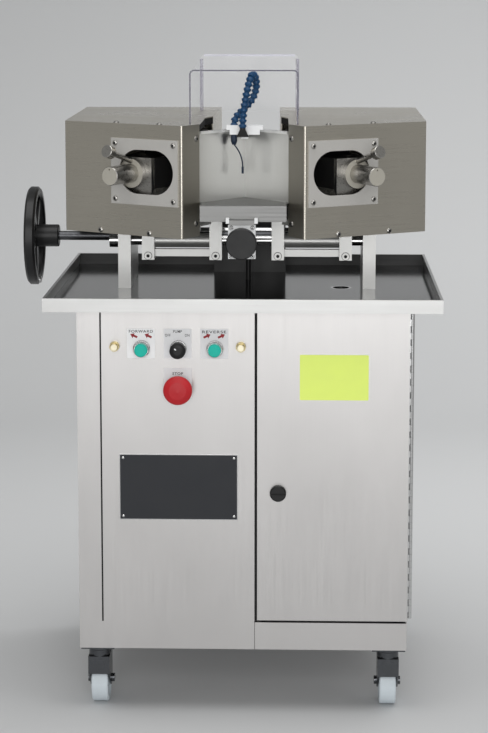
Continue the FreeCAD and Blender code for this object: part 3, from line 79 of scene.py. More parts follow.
class SharpenerColours(bpy.types.PropertyGroup):
    """Colours of the sharpener's materials."""

    cabinet: colour_property("Cabinet steel", "c5c3c2", "Brushed sheet of the cabinet and door")
    tray: colour_property("Tray steel", "bdbdbc", "Bright rolled sheet of the tray's rim")
    # Painted shade: the tray's inside is far darker than its rim, standing in for the dark things its floor
    # reflects.
    tray_inside: colour_property("Tray inside", "3e3e3e", "Inside of the tray, darkened as painted shade")
    housing: colour_property("Housing steel", "cac5ba", "Warm brushed sheet of the two housings")
    # Painted shade: the inner returns take a darker copy of the housing steel, standing in for the dark sides
    # they reflect.
    housing_shade: colour_property("Housing returns", "aeaaa0", "Inner returns of the two housings")
    chamber: colour_property("Chamber steel", "c8c8c6", "Walls of the blade chamber")
    # Painted shade: the chamber's floor and apron take a darker copy of the chamber steel.
    chamber_painted_shade: colour_property("Chamber floor", "828281", "Floor and apron of the blade chamber, darkened as painted shade")
    slot_plate: colour_property("Slot plate steel", "c6c4c0", "Bead-blasted plates round the spindle slots")
    bright: colour_property("Bright steel", "d4d4d4", "Polished rods and collars")
    satin: colour_property("Satin steel", "a9a7a3", "Turned knobs, levers and screws")
    knob_face: colour_property("Knob face", "c2beb3", "Faced ends of the turned knobs")
    dark_steel: colour_property("Dark steel", "5b5c5f", "Oiled lead screw, spindle plates and clamp screws")
    # Its pale copy is painted light on the clamp fronts, and a painted highlight on the chamber's hem.
    machined: colour_property("Machined aluminium", "f4f4f3", "Milled blocks")
    side_plate: colour_property("Side plate", "cfcfcd", "Ground side and base plates")
    # Painted shade: far darker than zinc's own tone, standing in for the dark things the castor plates and
    # forks reflect.
    zinc: colour_property("Zinc plate", "5a5c5f", "Castor plates and forks")
    black: colour_property("Black", "131314", "Handwheel, pedestal, knobs and tubes")
    green: colour_property("Green button", "00b9a6", "Forward and reverse buttons")
    red: colour_property("Red button", "bc1e26", "Stop button")
    arrow: colour_property("Arrow red", "9c2c32", "Arrows on the legend plates")
    brass: colour_property("Brass", "cbbb8c", "Collars and ridges of the panel thumbscrews")
    brass_face: colour_property("Brass face", "fff6d8", "Faced ends of the panel thumbscrews")
    label: colour_property("Label", "eafd7c", "Plain label on the door")
    plate: colour_property("Name plate", "24262b", "Plain plate on the panel")
    legend: colour_property("Legend film", "e9e9eb", "Plates behind the controls")
    legend_white: colour_property("White legend film", "fbfbfc", "Plate behind the forward button")
    white: colour_property("White plastic", "f3f4f5", "Manifold, guide block and coolant tank")
    hose: colour_property("Hose", "16436b", "Jointed coolant hose")
    nylon: colour_property("Nylon", "d8e1e7", "Castor wheels")
    floor: colour_property("Floor", "d0d1d2", "Studio floor and backdrop")


class SharpenerSizes(bpy.types.PropertyGroup):
    """Sizes of the small pieces that the scene adds."""

    legend_width: length_property("Legend width", 51 * MM, "Width of the plates behind the controls")
    legend_above: length_property("Legend above", 36.5 * MM, "Plate's top edge above the control's centre")
    legend_below: length_property("Legend below", 18.5 * MM, "Plate's low edge below the control's centre")
    legend_thickness: length_property("Legend thickness", 0.8 * MM, "Thickness of the plates")
    letter_height: length_property("Letter height", 5.0 * MM, "Height of the legend letters")
    arrow_length: length_property("Arrow length", 14 * MM, "Length of the red arrows")
    plate_width: length_property("Name plate width", 219 * MM, "Width of the plain plate")
    plate_height: length_property("Name plate height", 124 * MM, "Height of the plain plate")
    label_width: length_property("Label width", 126 * MM, "Width of the plain label")
    label_height: length_property("Label height", 84.5 * MM, "Height of the plain label")
    hose_diameter: length_property("Hose diameter", 14.6 * MM, "Outside of the hose's links")
    hose_pitch: length_property("Hose pitch", 9.6 * MM, "Length of one hose link")
    socket_share: bpy.props.FloatProperty(
        name="Socket share", description="Hexagon socket across its corners, as a share of the screw head",
        default=0.52, min=0.1, max=0.9)


def colours():
    return bpy.context.scene.sharpener_colours


def sizes():
    return bpy.context.scene.sharpener_sizes


def add_node(tree, kind, inputs=None, **settings):
    """New node with its settings and its inputs, where an input is a value or another node's output."""
    node = tree.nodes.new(kind)
    for name, value in settings.items():
        setattr(node, name, value)
    for name, value in (inputs or {}).items():
        if isinstance(value, bpy.types.NodeSocket):
            tree.links.new(value, node.inputs[name])
        else:
            node.inputs[name].default_value = value
    return node


def new_material(name, **inputs):
    """Material with one shader, and its tree, for a function that adds the detail."""
    material = bpy.data.materials.new(name)
    material.use_nodes = True
    tree = material.node_tree
    shader = tree.nodes["Principled BSDF"]
    for key, value in inputs.items():
        shader.inputs[key.replace("_", " ")].default_value = value
    return material, tree, shader


def noise(tree, spacing, detail=3.0, roughness=0.55):
    """Noise in object space, whose lumps have the given spacing along each axis in millimetres."""
    place = add_node(tree, "ShaderNodeTexCoord")
    scale = [1000 / length for length in spacing]
    mapping = add_node(tree, "ShaderNodeMapping", {"Vector": place.outputs["Object"], "Scale": scale})
    texture = add_node(tree, "ShaderNodeTexNoise", {"Vector": mapping.outputs["Vector"], "Scale": 1.0,
                                                    "Detail": detail, "Roughness": roughness})
    return texture.outputs["Fac"]


def spread(tree, value, low, high):
    """Maps the middle of a noise onto low to high."""
    mapped = add_node(tree, "ShaderNodeMapRange",
                      {"Value": value, "From Min": 0.3, "From Max": 0.7, "To Min": low, "To Max": high})
    return mapped.outputs["Result"]


def vary_colour(tree, shader, factor, colour, darkening):
    """Base colour that drifts between the colour and a darker one."""
    dark = (*(c * (1 - darkening) for c in colour[:3]), 1.0)
    mix = add_node(tree, "ShaderNodeMix", data_type="RGBA")
    sockets = [socket for socket in mix.inputs if socket.type == "RGBA"]
    sockets[0].default_value = dark
    sockets[1].default_value = tuple(colour)
    tree.links.new(spread(tree, factor, 0.0, 1.0), mix.inputs["Factor"])
    output = [socket for socket in mix.outputs if socket.type == "RGBA"][0]
    tree.links.new(output, shader.inputs["Base Color"])


def vary_input(tree, shader, name, factor, middle, low, high):
    """Input that drifts between two shares of its middle value."""
    tree.links.new(spread(tree, factor, middle * low, middle * high), shader.inputs[name])


def add_bump(tree, shader, height, strength, distance):
    bump = add_node(tree, "ShaderNodeBump", {"Height": height, "Strength": strength, "Distance": distance})
    tree.links.new(bump.outputs["Normal"], shader.inputs["Normal"])


# Spacing of brushing lines in millimetres along each axis: long along the grain, fine across it.
GRAIN = {"x": (160, 1.6, 1.6), "z": (1.6, 1.6, 160), "level": (120, 120, 1.6)}


def brushed_steel(name, colour, roughness, grain, cloud=0.07):
    """Brushed stainless sheet: fine lines along the grain, drawn coarser than real so that they show,
    slow clouds where hands and cloths have wiped it, and a soft sheen that follows the lights."""
    material, tree, shader = new_material(name, Metallic=1.0)
    lines = noise(tree, GRAIN[grain], detail=2.0)
    clouds = noise(tree, (170, 170, 260))
    vary_colour(tree, shader, clouds, colour, cloud)
    vary_input(tree, shader, "Roughness", lines, roughness, 0.86, 1.16)
    add_bump(tree, shader, lines, strength=0.05, distance=0.0003)
    return material


def turned_steel(name, colour, roughness):
    """Turned or ground steel: faint tool marks that break up its highlights."""
    material, tree, shader = new_material(name, Metallic=1.0)
    marks = noise(tree, (4, 4, 4), detail=4.0)
    vary_colour(tree, shader, marks, colour, darkening=0.07)
    vary_input(tree, shader, "Roughness", marks, roughness, 0.8, 1.25)
    return material


def satin_metal(name, colour, roughness, metallic):
    """Milled, blasted or anodised metal: a pale satin skin with a fine even grain that scatters the light."""
    material, tree, shader = new_material(name, Metallic=metallic)
    grain = noise(tree, (1.2, 1.2, 1.2), detail=4.0)
    drift = noise(tree, (60, 60, 60))
    vary_colour(tree, shader, drift, colour, darkening=0.06)
    vary_input(tree, shader, "Roughness", grain, roughness, 0.85, 1.15)
    add_bump(tree, shader, grain, strength=0.06, distance=0.0002)
    return material


def moulded_plastic(name, colour, roughness, pits=0.15, cloud=0.1):
    """Moulded plastic: one colour with a slow drift, and a fine orange-peel skin."""
    material, tree, shader = new_material(name, Specular_IOR_Level=0.35)
    skin = noise(tree, (0.7, 0.7, 0.7))
    drift = noise(tree, (33, 33, 33))
    vary_colour(tree, shader, drift, colour, cloud)
    vary_input(tree, shader, "Roughness", drift, roughness, 0.85, 1.2)
    add_bump(tree, shader, skin, strength=pits, distance=0.0001)
    return material


def gloss_enamel(name, colour, roughness):
    """Sprayed gloss enamel: deep colour under a clear skin with a soft ripple."""
    material, tree, shader = new_material(name, Coat_Weight=0.12, Coat_Roughness=0.2, Specular_IOR_Level=0.35)
    ripple = noise(tree, (4.5, 4.5, 4.5), detail=2.0)
    drift = noise(tree, (70, 70, 70))
    vary_colour(tree, shader, drift, colour, darkening=0.15)
    vary_input(tree, shader, "Roughness", drift, roughness, 0.85, 1.2)
    add_bump(tree, shader, ripple, strength=0.06, distance=0.0003)
    return material


def clear_acrylic(name, colour, alpha):
    """Bent clear acrylic: almost unseen, with a pale veil that is painted sheen in place of its reflections,
    patchy like wiped spray.
    """
    material, tree, shader = new_material(name, Roughness=0.08)
    film = noise(tree, (45, 45, 90))
    vary_colour(tree, shader, film, colour, darkening=0.08)
    vary_input(tree, shader, "Alpha", film, alpha, 0.85, 1.15)
    return material


def bonded_grit(name, colour):
    """Bonded abrasive: dark grit in a porous bond."""
    material, tree, shader = new_material(name, Roughness=0.9)
    grit = noise(tree, (1.1, 1.1, 1.1), detail=5.0)
    vary_colour(tree, shader, grit, colour, darkening=0.5)
    add_bump(tree, shader, grit, strength=0.5, distance=0.0004)
    return material


MATERIALS = {}


def make_materials():
    c = colours()
    MATERIALS.update({
        "panel": brushed_steel("panel_steel", c.cabinet, 0.36, "z"),
        "tray": brushed_steel("tray_steel", c.tray, 0.36, "x", 0.05),
        # Painted shade: the tray's floor and the inside of its back wall take a darkened copy of the tray
        # steel.
        "tray_floor": brushed_steel("tray_floor_painted_shade", c.tray_inside, 0.12, "x", 0.06),
        "tray_wall": brushed_steel("tray_wall_painted_shade", c.tray_inside, 0.4, "x", 0.06),
        "housing": brushed_steel("housing_steel", c.housing, 0.30, "level"),
        # Painted shade on the housings' inner returns.
        "housing_shade": brushed_steel("housing_return_painted_shade", c.housing_shade, 0.34, "level"),
        "slot_plate": satin_metal("blasted_plate_steel", c.slot_plate, 0.6, 0.45),
        "chamber": brushed_steel("chamber_steel", c.chamber, 0.34, "z"),
        # Painted shade on the chamber's floor and apron.
        "chamber_painted_shade": brushed_steel("chamber_floor_painted_shade", c.chamber_painted_shade, 0.45, "x"),
        "bright": turned_steel("bright_steel", c.bright, 0.16),
        "satin": turned_steel("satin_steel", c.satin, 0.3),
        "knob_face": satin_metal("knob_face_steel", c.knob_face, 0.5, 0.5),
        "dark_steel": turned_steel("dark_steel", c.dark_steel, 0.36),
        "machined": satin_metal("milled_aluminium", c.machined, 0.4, 0.85),
        "side_plate": satin_metal("ground_plate", c.side_plate, 0.4, 0.75),
        "zinc": turned_steel("zinc_plate", c.zinc, 0.22),
        "black_paint": gloss_enamel("black_enamel", c.black, 0.4),
        "grey_paint": gloss_enamel("grey_enamel", srgb("9a9c9e"), 0.4),
        "black_plastic": moulded_plastic("black_plastic", c.black, 0.42),
        "rubber": moulded_plastic("black_rubber", srgb("141415"), 0.75),
        "green": moulded_plastic("green_plastic", c.green, 0.4),
        "red": moulded_plastic("red_plastic", c.red, 0.42),
        "white": moulded_plastic("white_plastic", c.white, 0.42),
        "hose": moulded_plastic("hose_plastic", c.hose, 0.3),
        "dark_hose": moulded_plastic("dark_hose_plastic", srgb("14243a"), 0.4),
        "nylon": moulded_plastic("nylon", c.nylon, 0.4),
        "brass": turned_steel("brass", c.brass, 0.3),
        "brass_face": satin_metal("brass_face", c.brass_face, 0.5, 0.3),
        "abrasive": bonded_grit("abrasive_grit", srgb("3a3836")),
        # Painted sheen: the pale veil at low alpha stands in for the cover's reflections.
        "clear": clear_acrylic("clear_acrylic", srgb("f4f4f8"), 0.09),
        # Painted shade: the cover's cut front edge is drawn dark.
        "cover_edge": clear_acrylic("acrylic_edge_painted_shade", srgb("46435a"), 0.85),
        # Painted reflections: violet strips down the back corners of the cover.
        "cover_corner_reflection": clear_acrylic("acrylic_painted_reflection", srgb("7f7a96"), 0.45),
        # Painted highlight along the cover's back top edge.
        "cover_glint": clear_acrylic("acrylic_painted_glint", srgb("e4e4f4"), 0.45),
        "label": moulded_plastic("label_film", c.label, 0.5, 0.05, 0.03),
        "plate": gloss_enamel("name_plate_enamel", c.plate, 0.5),
        "ink": moulded_plastic("legend_ink", srgb("242528"), 0.6, 0.05),
        "arrow_ink": moulded_plastic("arrow_ink", c.arrow, 0.6, 0.05),
        "legend": moulded_plastic("legend_film", c.legend, 0.4, 0.05, 0.03),
        "legend_white": moulded_plastic("white_legend_film", c.legend_white, 0.4, 0.05, 0.03),
        "socket": moulded_plastic("socket_shadow", srgb("1c1c1e"), 0.7, 0.05),
    })


CORNERS = ("front_left", "front_right", "rear_left", "rear_right")
NODE_MATERIALS = {
    "panel": ("cabinet_shell", "rear_panel", "control_panel", "door"),
    "tray": ("tray",),
    "housing": ("housing_left", "housing_right"),
    "slot_plate": ("slot_plates",),
    "chamber": ("blade_chamber",),
    "bright": ("guide_rods", "drain_fitting", "button_collars", "door_hinge_pin",
               "door_hinge_cabinet_leaf", "door_hinge_door_leaf"),
    "satin": ("spindle_left", "spindle_right", "lock_lever_left", "lock_lever_right", "housing_screws"),
    "dark_steel": ("lead_screw",),
    "side_plate": ("side_plates", "base_plates", "carriage_left", "carriage_right"),
    # The castor plates and forks take the darkened zinc: painted shade.
    "zinc": ("castor_plates", *("castor_fork_" + corner for corner in CORNERS)),
    "nylon": tuple("castor_wheel_" + corner for corner in CORNERS),
    # The spindle motors inside the housings take the black enamel as painted shade, so that the slots look
    # dark.
    "black_paint": ("handwheel", "pedestal_plate", "spindle_motor_left", "spindle_motor_right"),
    "grey_paint": ("coolant_pump", "electrical_box"),
    "black_plastic": ("guide_knob", "pump_selector", "contact_blocks", "cord_gland", "door_latch",
                      "fan_nozzle", "supply_tube"),
    "rubber": ("splash_strips",),
    "white": ("coolant_tank", "manifold_block", "guide_block"),
    "green": ("forward_button", "reverse_button"),
    "red": ("stop_button",),
    "brass": ("panel_thumbscrews",),
    "abrasive": ("grinding_wheels_left", "grinding_wheels_right"),
    "clear": ("clear_cover",),
    "hose": ("coolant_hose",),
    "dark_hose": ("drip_line",),
}

# Turn of the two grinding heads about the upright axis.
HEAD_TURN = math.radians(30)
# Reach of the second finishes and painted shade from the edge of a node's box.
TRAY_HEM = 8 * MM
TRAY_BACK = 60 * MM
CHAMBER_WALL = 131 * MM
HOUSING_LAP = 12 * MM
CLAMP_FRONT = 12 * MM
CLAMP_SCREW = 2.9 * MM
THUMBSCREW_FACE = 1.5 * MM
# Least share of a face's normal along a direction, from leaning that way to square with it.
LEANING, FACING, NEARLY_SQUARE, SQUARE = 0.5, 0.7, 0.9, 0.97


def paint_faces(node, material, wanted):
    """Gives a second finish, or a painted shade or highlight, to the faces of a node whose centre and normal
    are wanted.
    """
    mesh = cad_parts[node].data
    mesh.materials.append(MATERIALS[material])
    for face in mesh.polygons:
        if wanted(face.center, face.normal):
            face.material_index = len(mesh.materials) - 1


def paint_details():
    """Second finishes, painted shade on the tray's inside, chamber's floor, housing returns and upper
    carriage, painted light on the clamp fronts, faced ends and screws.
    """
    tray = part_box("tray")[1]
    # Painted shade: the tray's floor and the inside of its back wall take the darkened steel.
    paint_faces("tray", "tray_floor", lambda at, way: way.z > FACING and at.z < tray.z - TRAY_HEM)
    paint_faces("tray", "tray_wall", lambda at, way: way.y < -LEANING and at.y > tray.y - TRAY_BACK)
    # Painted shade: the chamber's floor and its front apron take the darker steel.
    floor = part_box("blade_chamber")[1].z - CHAMBER_WALL + MM
    paint_faces("blade_chamber", "chamber_painted_shade",
                lambda at, way: at.z < floor and (way.z > FACING or way.y < -FACING))
    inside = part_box("housing_left")[0].z + HOUSING_LAP
    for side, sign in (("left", -1), ("right", 1)):
        out = Vector((sign * math.sin(HEAD_TURN), -math.cos(HEAD_TURN), 0))
        inward = Vector((-sign * math.cos(HEAD_TURN), -math.sin(HEAD_TURN), 0))
        # Painted shade: faces turned inward on each housing take the darker steel.
        paint_faces("housing_" + side, "housing_shade", lambda at, way: way.dot(inward) > SQUARE)
        for node in ("spindle_" + side, "lock_lever_" + side):
            paint_faces(node, "knob_face", lambda at, way: way.dot(out) > SQUARE)
        carriage = "carriage_" + side
        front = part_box(carriage)[0].y
        # Painted light: only the clamp blocks' front faces take the paler milled copy, lighter than the
        # carriage's other faces.
        paint_faces(carriage, "machined",
                    lambda at, way: way.y < -NEARLY_SQUARE and at.y < front + CLAMP_FRONT)
        # Painted shade: the carriage is darker above the housing's lower edge, where it reaches inside the
        # housing.
        paint_faces(carriage, "satin", lambda at, way: at.z > inside)
        paint_faces(carriage, "dark_steel", lambda at, way: at.y < front + CLAMP_SCREW)
    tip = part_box("panel_thumbscrews")[0].y + THUMBSCREW_FACE
    paint_faces("panel_thumbscrews", "brass_face", lambda at, way: at.y < tip)


def new_object(name, mesh):
    piece = bpy.data.objects.new(name, mesh)
    bpy.context.scene.collection.objects.link(piece)
    return piece


def finish_piece(name, mesh, material, body="cabinet"):
    """Object at the origin that rides on a body."""
    mesh.materials.clear()
    mesh.materials.append(MATERIALS[material])
    piece = new_object(name, mesh)
    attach(piece, body)
    return piece


def mesh_from(bm, name):
    """Mesh from a bmesh, which is then freed."""
    mesh = bpy.data.meshes.new(name)
    bm.to_mesh(mesh)
    bm.free()
    return mesh


def extrude_outline(bm, outline, front, back):
    """Adds an upright plate with the given outline of (x, z) corners, from its front to its back."""
    loops = [[bm.verts.new((x, y, z)) for x, z in outline] for y in (front, back)]
    faces = [bm.faces.new(loops[0][::-1]), bm.faces.new(loops[1])]
    for index in range(len(outline)):
        after = (index + 1) % len(outline)
        faces.append(bm.faces.new((loops[0][index], loops[0][after], loops[1][after], loops[1][index])))
    bmesh.ops.recalc_face_normals(bm, faces=faces)


def plate_piece(name, outlines, front, back, material, body="cabinet"):
    """Piece made of upright plates that share a front and a back."""
    bm = bmesh.new()
    for outline in outlines:
        extrude_outline(bm, outline, front, back)
    finish_piece(name, mesh_from(bm, name), material, body)


def rounded_outline(x0, x1, z0, z1, radius, steps=5):
    """Corners of a rectangle with round corners."""
    outline = []
    for cx, cz, start in ((x1 - radius, z1 - radius, 0), (x0 + radius, z1 - radius, 90),
                          (x0 + radius, z0 + radius, 180), (x1 - radius, z0 + radius, 270)):
        for step in range(steps + 1):
            angle = math.radians(start + 90 * step / steps)
            outline.append((cx + radius * math.cos(angle), cz + radius * math.sin(angle)))
    return outline


def turned_mesh(name, profile, segments=24):
    """Closed body of revolution about Z from (radius, height) pairs, whose ends lie on the axis."""
    bm = bmesh.new()
    rings = []
    for radius, height in profile:
        if radius == 0:
            rings.append([bm.verts.new((0, 0, height))] * segments)
        else:
            angles = [math.tau * step / segments for step in range(segments)]
            rings.append([bm.verts.new((radius * math.cos(a), radius * math.sin(a), height)) for a in angles])
    for low, high in zip(rings, rings[1:]):
        for step in range(segments):
            after = (step + 1) % segments
            corners = list(dict.fromkeys((low[step], low[after], high[after], high[step])))
            bm.faces.new(corners)
    bmesh.ops.recalc_face_normals(bm, faces=bm.faces)
    return mesh_from(bm, name)


def node_centre(node):
    low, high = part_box(node)
    return (low + high) / 2


def islands(node):
    """Points of every separate solid in a node."""
    bm = bmesh.new()
    bm.from_mesh(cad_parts[node].data)
    bmesh.ops.remove_doubles(bm, verts=bm.verts, dist=1e-6)
    left = set(bm.verts)
    found = []
    while left:
        group, todo = [], [left.pop()]
        while todo:
            vert = todo.pop()
            group.append(tuple(vert.co))
            near = left & {edge.other_vert(vert) for edge in vert.link_edges}
            left -= near
            todo += near
        found.append(np.array(sorted(group)))
    bm.free()
    return sorted(found, key=lambda points: tuple(points[0]))


def head_of(points):
    """Top centre, axis and radius of a turned head, with its axis towards its narrow end."""
    centre = (points.min(0) + points.max(0)) / 2
    offsets = points - centre
    axis = np.linalg.eigh(np.cov(offsets.T))[1][:, 0]
    along = offsets @ axis
    radii = np.linalg.norm(offsets - np.outer(along, axis), axis=1)
    edge = 0.01 * MM
    if radii[along > along.max() - edge].max() > radii[along < along.min() + edge].max():
        axis, along = -axis, -along
    return Vector(centre + axis * along.max()), Vector(axis), float(radii.max())


def geometry_tree(name, **inputs):
    """Geometry node tree with the given inputs beside its geometry, and its input node."""
    tree = bpy.data.node_groups.new(name, "GeometryNodeTree")
    for socket, kind in {"Geometry": "Geometry", **inputs}.items():
        tree.interface.new_socket(socket, in_out="INPUT", socket_type="NodeSocket" + kind)
    tree.interface.new_socket("Geometry", in_out="OUTPUT", socket_type="NodeSocketGeometry")
    return tree, add_node(tree, "NodeGroupInput")


def instance_tree():
    """Geometry nodes that stand a shape on every point, with the point's turn and size."""
    tree, start = geometry_tree("stand_on_points", Shape="Object", Material="Material")
    shape = add_node(tree, "GeometryNodeObjectInfo", {"Object": start.outputs["Shape"]})
    turn = add_node(tree, "GeometryNodeInputNamedAttribute", {"Name": "turn"}, data_type="FLOAT_VECTOR")
    size = add_node(tree, "GeometryNodeInputNamedAttribute", {"Name": "size"}, data_type="FLOAT_VECTOR")
    rotation = add_node(tree, "FunctionNodeEulerToRotation", {"Euler": turn.outputs["Attribute"]})
    stand = add_node(tree, "GeometryNodeInstanceOnPoints",
                     {"Points": start.outputs["Geometry"], "Instance": shape.outputs["Geometry"],
                      "Rotation": rotation.outputs["Rotation"], "Scale": size.outputs["Attribute"]})
    finish_tree(tree, start, stand.outputs["Instances"])
    return tree


def chain_tree():
    """Geometry nodes that string a link along a route at an even pitch, each along the route's direction."""
    tree, start = geometry_tree("string_links", Route="Object", Shape="Object", Pitch="Float",
                                Material="Material")
    route = add_node(tree, "GeometryNodeObjectInfo", {"Object": start.outputs["Route"]})
    shape = add_node(tree, "GeometryNodeObjectInfo", {"Object": start.outputs["Shape"]})
    even = add_node(tree, "GeometryNodeResampleCurve",
                    {"Curve": route.outputs["Geometry"], "Length": start.outputs["Pitch"]}, mode="LENGTH")
    tangent = add_node(tree, "GeometryNodeInputTangent")
    rotation = add_node(tree, "FunctionNodeAlignRotationToVector", {"Vector": tangent.outputs["Tangent"]},
                        axis="Z")
    stand = add_node(tree, "GeometryNodeInstanceOnPoints",
                     {"Points": even.outputs["Curve"], "Instance": shape.outputs["Geometry"],
                      "Rotation": rotation.outputs["Rotation"]})
    finish_tree(tree, start, stand.outputs["Instances"])
    return tree


def finish_tree(tree, start, instances):
    """Ends a tree with real geometry and its material."""
    real = add_node(tree, "GeometryNodeRealizeInstances", {"Geometry": instances})
    paint = add_node(tree, "GeometryNodeSetMaterial",
                     {"Geometry": real.outputs["Geometry"], "Material": start.outputs["Material"]})
    end = add_node(tree, "NodeGroupOutput")
    tree.links.new(paint.outputs["Geometry"], end.inputs["Geometry"])


def run_tree(tree, carrier, **inputs):
    """Plain mesh that a tree makes on a carrier, which is then removed."""
    modifier = carrier.modifiers.new("nodes", "NODES")
    modifier.node_group = tree
    sockets = {item.name: item.identifier for item in tree.interface.items_tree if item.in_out == "INPUT"}
    for name, value in inputs.items():
        modifier[sockets[name]] = value
    bpy.context.view_layer.update()
    mesh = bpy.data.meshes.new_from_object(carrier.evaluated_get(bpy.context.evaluated_depsgraph_get()))
    carrier.modifiers.remove(modifier)
    bpy.data.objects.remove(carrier)
    for attribute in ("turn", "size"):
        if attribute in mesh.attributes:
            mesh.attributes.remove(mesh.attributes[attribute])
    return mesh


def stand_on_points(name, places, shape_mesh, material, body="cabinet"):
    """Piece made of one shape on many places, each a point, the way its Z axis points, and a size."""
    mesh = bpy.data.meshes.new(name)
    points, ways, scales = zip(*places)
    mesh.from_pydata(points, [], [])
    turns = [tuple(way.to_track_quat("Z", "Y").to_euler()) for way in ways]
    for attribute, values in (("turn", turns), ("size", [(scale,) * 3 for scale in scales])):
        data = mesh.attributes.new(attribute, "FLOAT_VECTOR", "POINT").data
        data.foreach_set("vector", np.array(values, np.float32).ravel())
    shape = new_object(name + "_shape", shape_mesh)
    tree = bpy.data.node_groups.get("stand_on_points") or instance_tree()
    result = run_tree(tree, new_object(name + "_points", mesh), Shape=shape, Material=MATERIALS[material])
    bpy.data.objects.remove(shape)
    finish_piece(name, result, material, body)


class Step:
    """Operator that makes one group of pieces or looks."""

    def execute(self, context):
        self.make(context)
        return {"FINISHED"}


class SHARPENER_OT_materials(Step, bpy.types.Operator):
    """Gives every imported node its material"""

    bl_idname = "sharpener.materials"
    bl_label = "Materials"

    def make(self, context):
        make_materials()
        for material, nodes in NODE_MATERIALS.items():
            for node in nodes:
                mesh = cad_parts[node].data
                mesh.materials.clear()
                mesh.materials.append(MATERIALS[material])
        missing = set(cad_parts) - {node for nodes in NODE_MATERIALS.values() for node in nodes}
        if missing:
            raise RuntimeError("nodes without a material: " + ", ".join(sorted(missing)))
        paint_details()


# Route of the hose in millimetres: sideways and back from the machine's middle, up from the manifold's top.
HOSE_ROUTE = (
    (-20, -133, 0), (-19.8, -132.8, 6), (-15, -129, 16), (-3.5, -124, 28), (9.5, -121, 42), (18.5, -121, 60),
    (20.5, -126, 80), (14.5, -142, 94), (8, -156, 79), (1.5, -161.5, 48), (-2.5, -163.5, 19), (-3.4, -164, 6),
    (-3.5, -164, 0),
)
# Half section of one hose link: shares of the hose's radius and of the pitch.
HOSE_LINK = ((0, -0.62), (0.60, -0.62), (0.70, -0.50), (0.66, -0.36), (0.70, -0.30), (0.97, -0.27),
             (1.0, -0.18), (1.0, 0.06), (0.92, 0.16), (0.78, 0.30), (0.70, 0.40), (0, 0.40))


def hose_route():
    """Smooth curve through the hose's route points."""
    low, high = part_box("manifold_block")
    start = Vector(((low.x + high.x) / 2, 0, high.z))
    curve = bpy.data.curves.new("hose_route", "CURVE")
    curve.dimensions = "3D"
    curve.resolution_u = 24
    spline = curve.splines.new("BEZIER")
    spline.bezier_points.add(len(HOSE_ROUTE) - 1)
    for knot, place in zip(spline.bezier_points, HOSE_ROUTE):
        knot.co = start + Vector(place) * MM
        knot.handle_left_type = knot.handle_right_type = "AUTO"
    return new_object("hose_route", curve)


class SHARPENER_OT_hose(Step, bpy.types.Operator):
    """Makes the jointed hose: a chain of ball and socket links along its route"""

    bl_idname = "sharpener.hose"
    bl_label = "Coolant hose"

    def make(self, context):
        s = sizes()
        radius, pitch = s.hose_diameter / 2, s.hose_pitch
        profile = [(r * radius, z * pitch) for r, z in HOSE_LINK]
        link = new_object("hose_link", turned_mesh("hose_link", profile, segments=20))
        route = hose_route()
        carrier = new_object("hose_carrier", bpy.data.meshes.new("hose_carrier"))
        mesh = run_tree(chain_tree(), carrier, Route=route, Shape=link, Pitch=pitch,
                        Material=MATERIALS["hose"])
        bpy.data.objects.remove(route)
        bpy.data.objects.remove(link)
        hose = finish_piece("jointed_hose", mesh, "hose")
        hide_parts("coolant_hose")


def words_mesh(text, width, height, x, z, front):
    """Mesh of raised letters of a given width and height, centred on x, standing on the panel."""
    curve = bpy.data.curves.new("words", "FONT")
    curve.body = text
    curve.extrude = 0.02
    curve.space_character = 1.15
    curve.offset = 0.012
    writer = new_object("words", curve)
    mesh = bpy.data.meshes.new_from_object(writer.evaluated_get(bpy.context.evaluated_depsgraph_get()))
    bpy.data.objects.remove(writer)
    points = np.array([vert.co for vert in mesh.vertices])
    low, high = points.min(0), points.max(0)
    size = high - low
    scale = Matrix.Diagonal((width / size[0], height / size[1], INK / curve.extrude, 1))
    centred = Matrix.Translation((-(low[0] + high[0]) / 2, -(low[1] + high[1]) / 2, 0))
    upright = Matrix.Rotation(math.pi / 2, 4, "X")
    mesh.transform(Matrix.Translation((x, front, z)) @ upright @ scale @ centred)
    return mesh


def join_meshes(meshes, name):
    bm = bmesh.new()
    for mesh in meshes:
        bm.from_mesh(mesh)
        bpy.data.meshes.remove(mesh)
    return mesh_from(bm, name)


def turned_outline(outline, turn):
    """Corners turned about the origin."""
    return [(u * math.cos(turn) - v * math.sin(turn), u * math.sin(turn) + v * math.cos(turn))
            for u, v in outline]


def arrow_outline(x, z, length, way):
    """Corners of an arrow that points up and to the side given by way."""
    shape = ((-0.5, -0.14), (0.02, -0.14), (0.02, -0.36), (0.5, 0.0), (0.02, 0.36), (0.02, 0.14),
             (-0.5, 0.14))
    return [(x + way * px * length, z + pz * length) for px, pz in turned_outline(shape, ARROW_TURN)]


# Words on each plate in millimetres: text, width, place right of its middle and above its control's centre.
LEGENDS = {
    "forward_button": (("FORWARD", 44, 0, 31.5),),
    "reverse_button": (("REVERSE", 44, 0, 31),),
    "pump_selector": (("PUMP", 16, 0, 31.5), ("OFF", 10.2, -18, 24.5), ("ON", 8.4, 17.5, 24.5)),
    "stop_button": (("STOP", 19.5, 0, 26.5),),
}
# Shift and corner radius of the plates, place and turn of the arrows, and how far the ink stands proud.
LEGEND_SHIFT = -1.3 * MM
LEGEND_CORNER = 1.2 * MM
ARROW_ASIDE = 13.2 * MM
ARROW_ABOVE = 23.3 * MM
ARROW_TURN = math.radians(25)
INK = 0.1 * MM


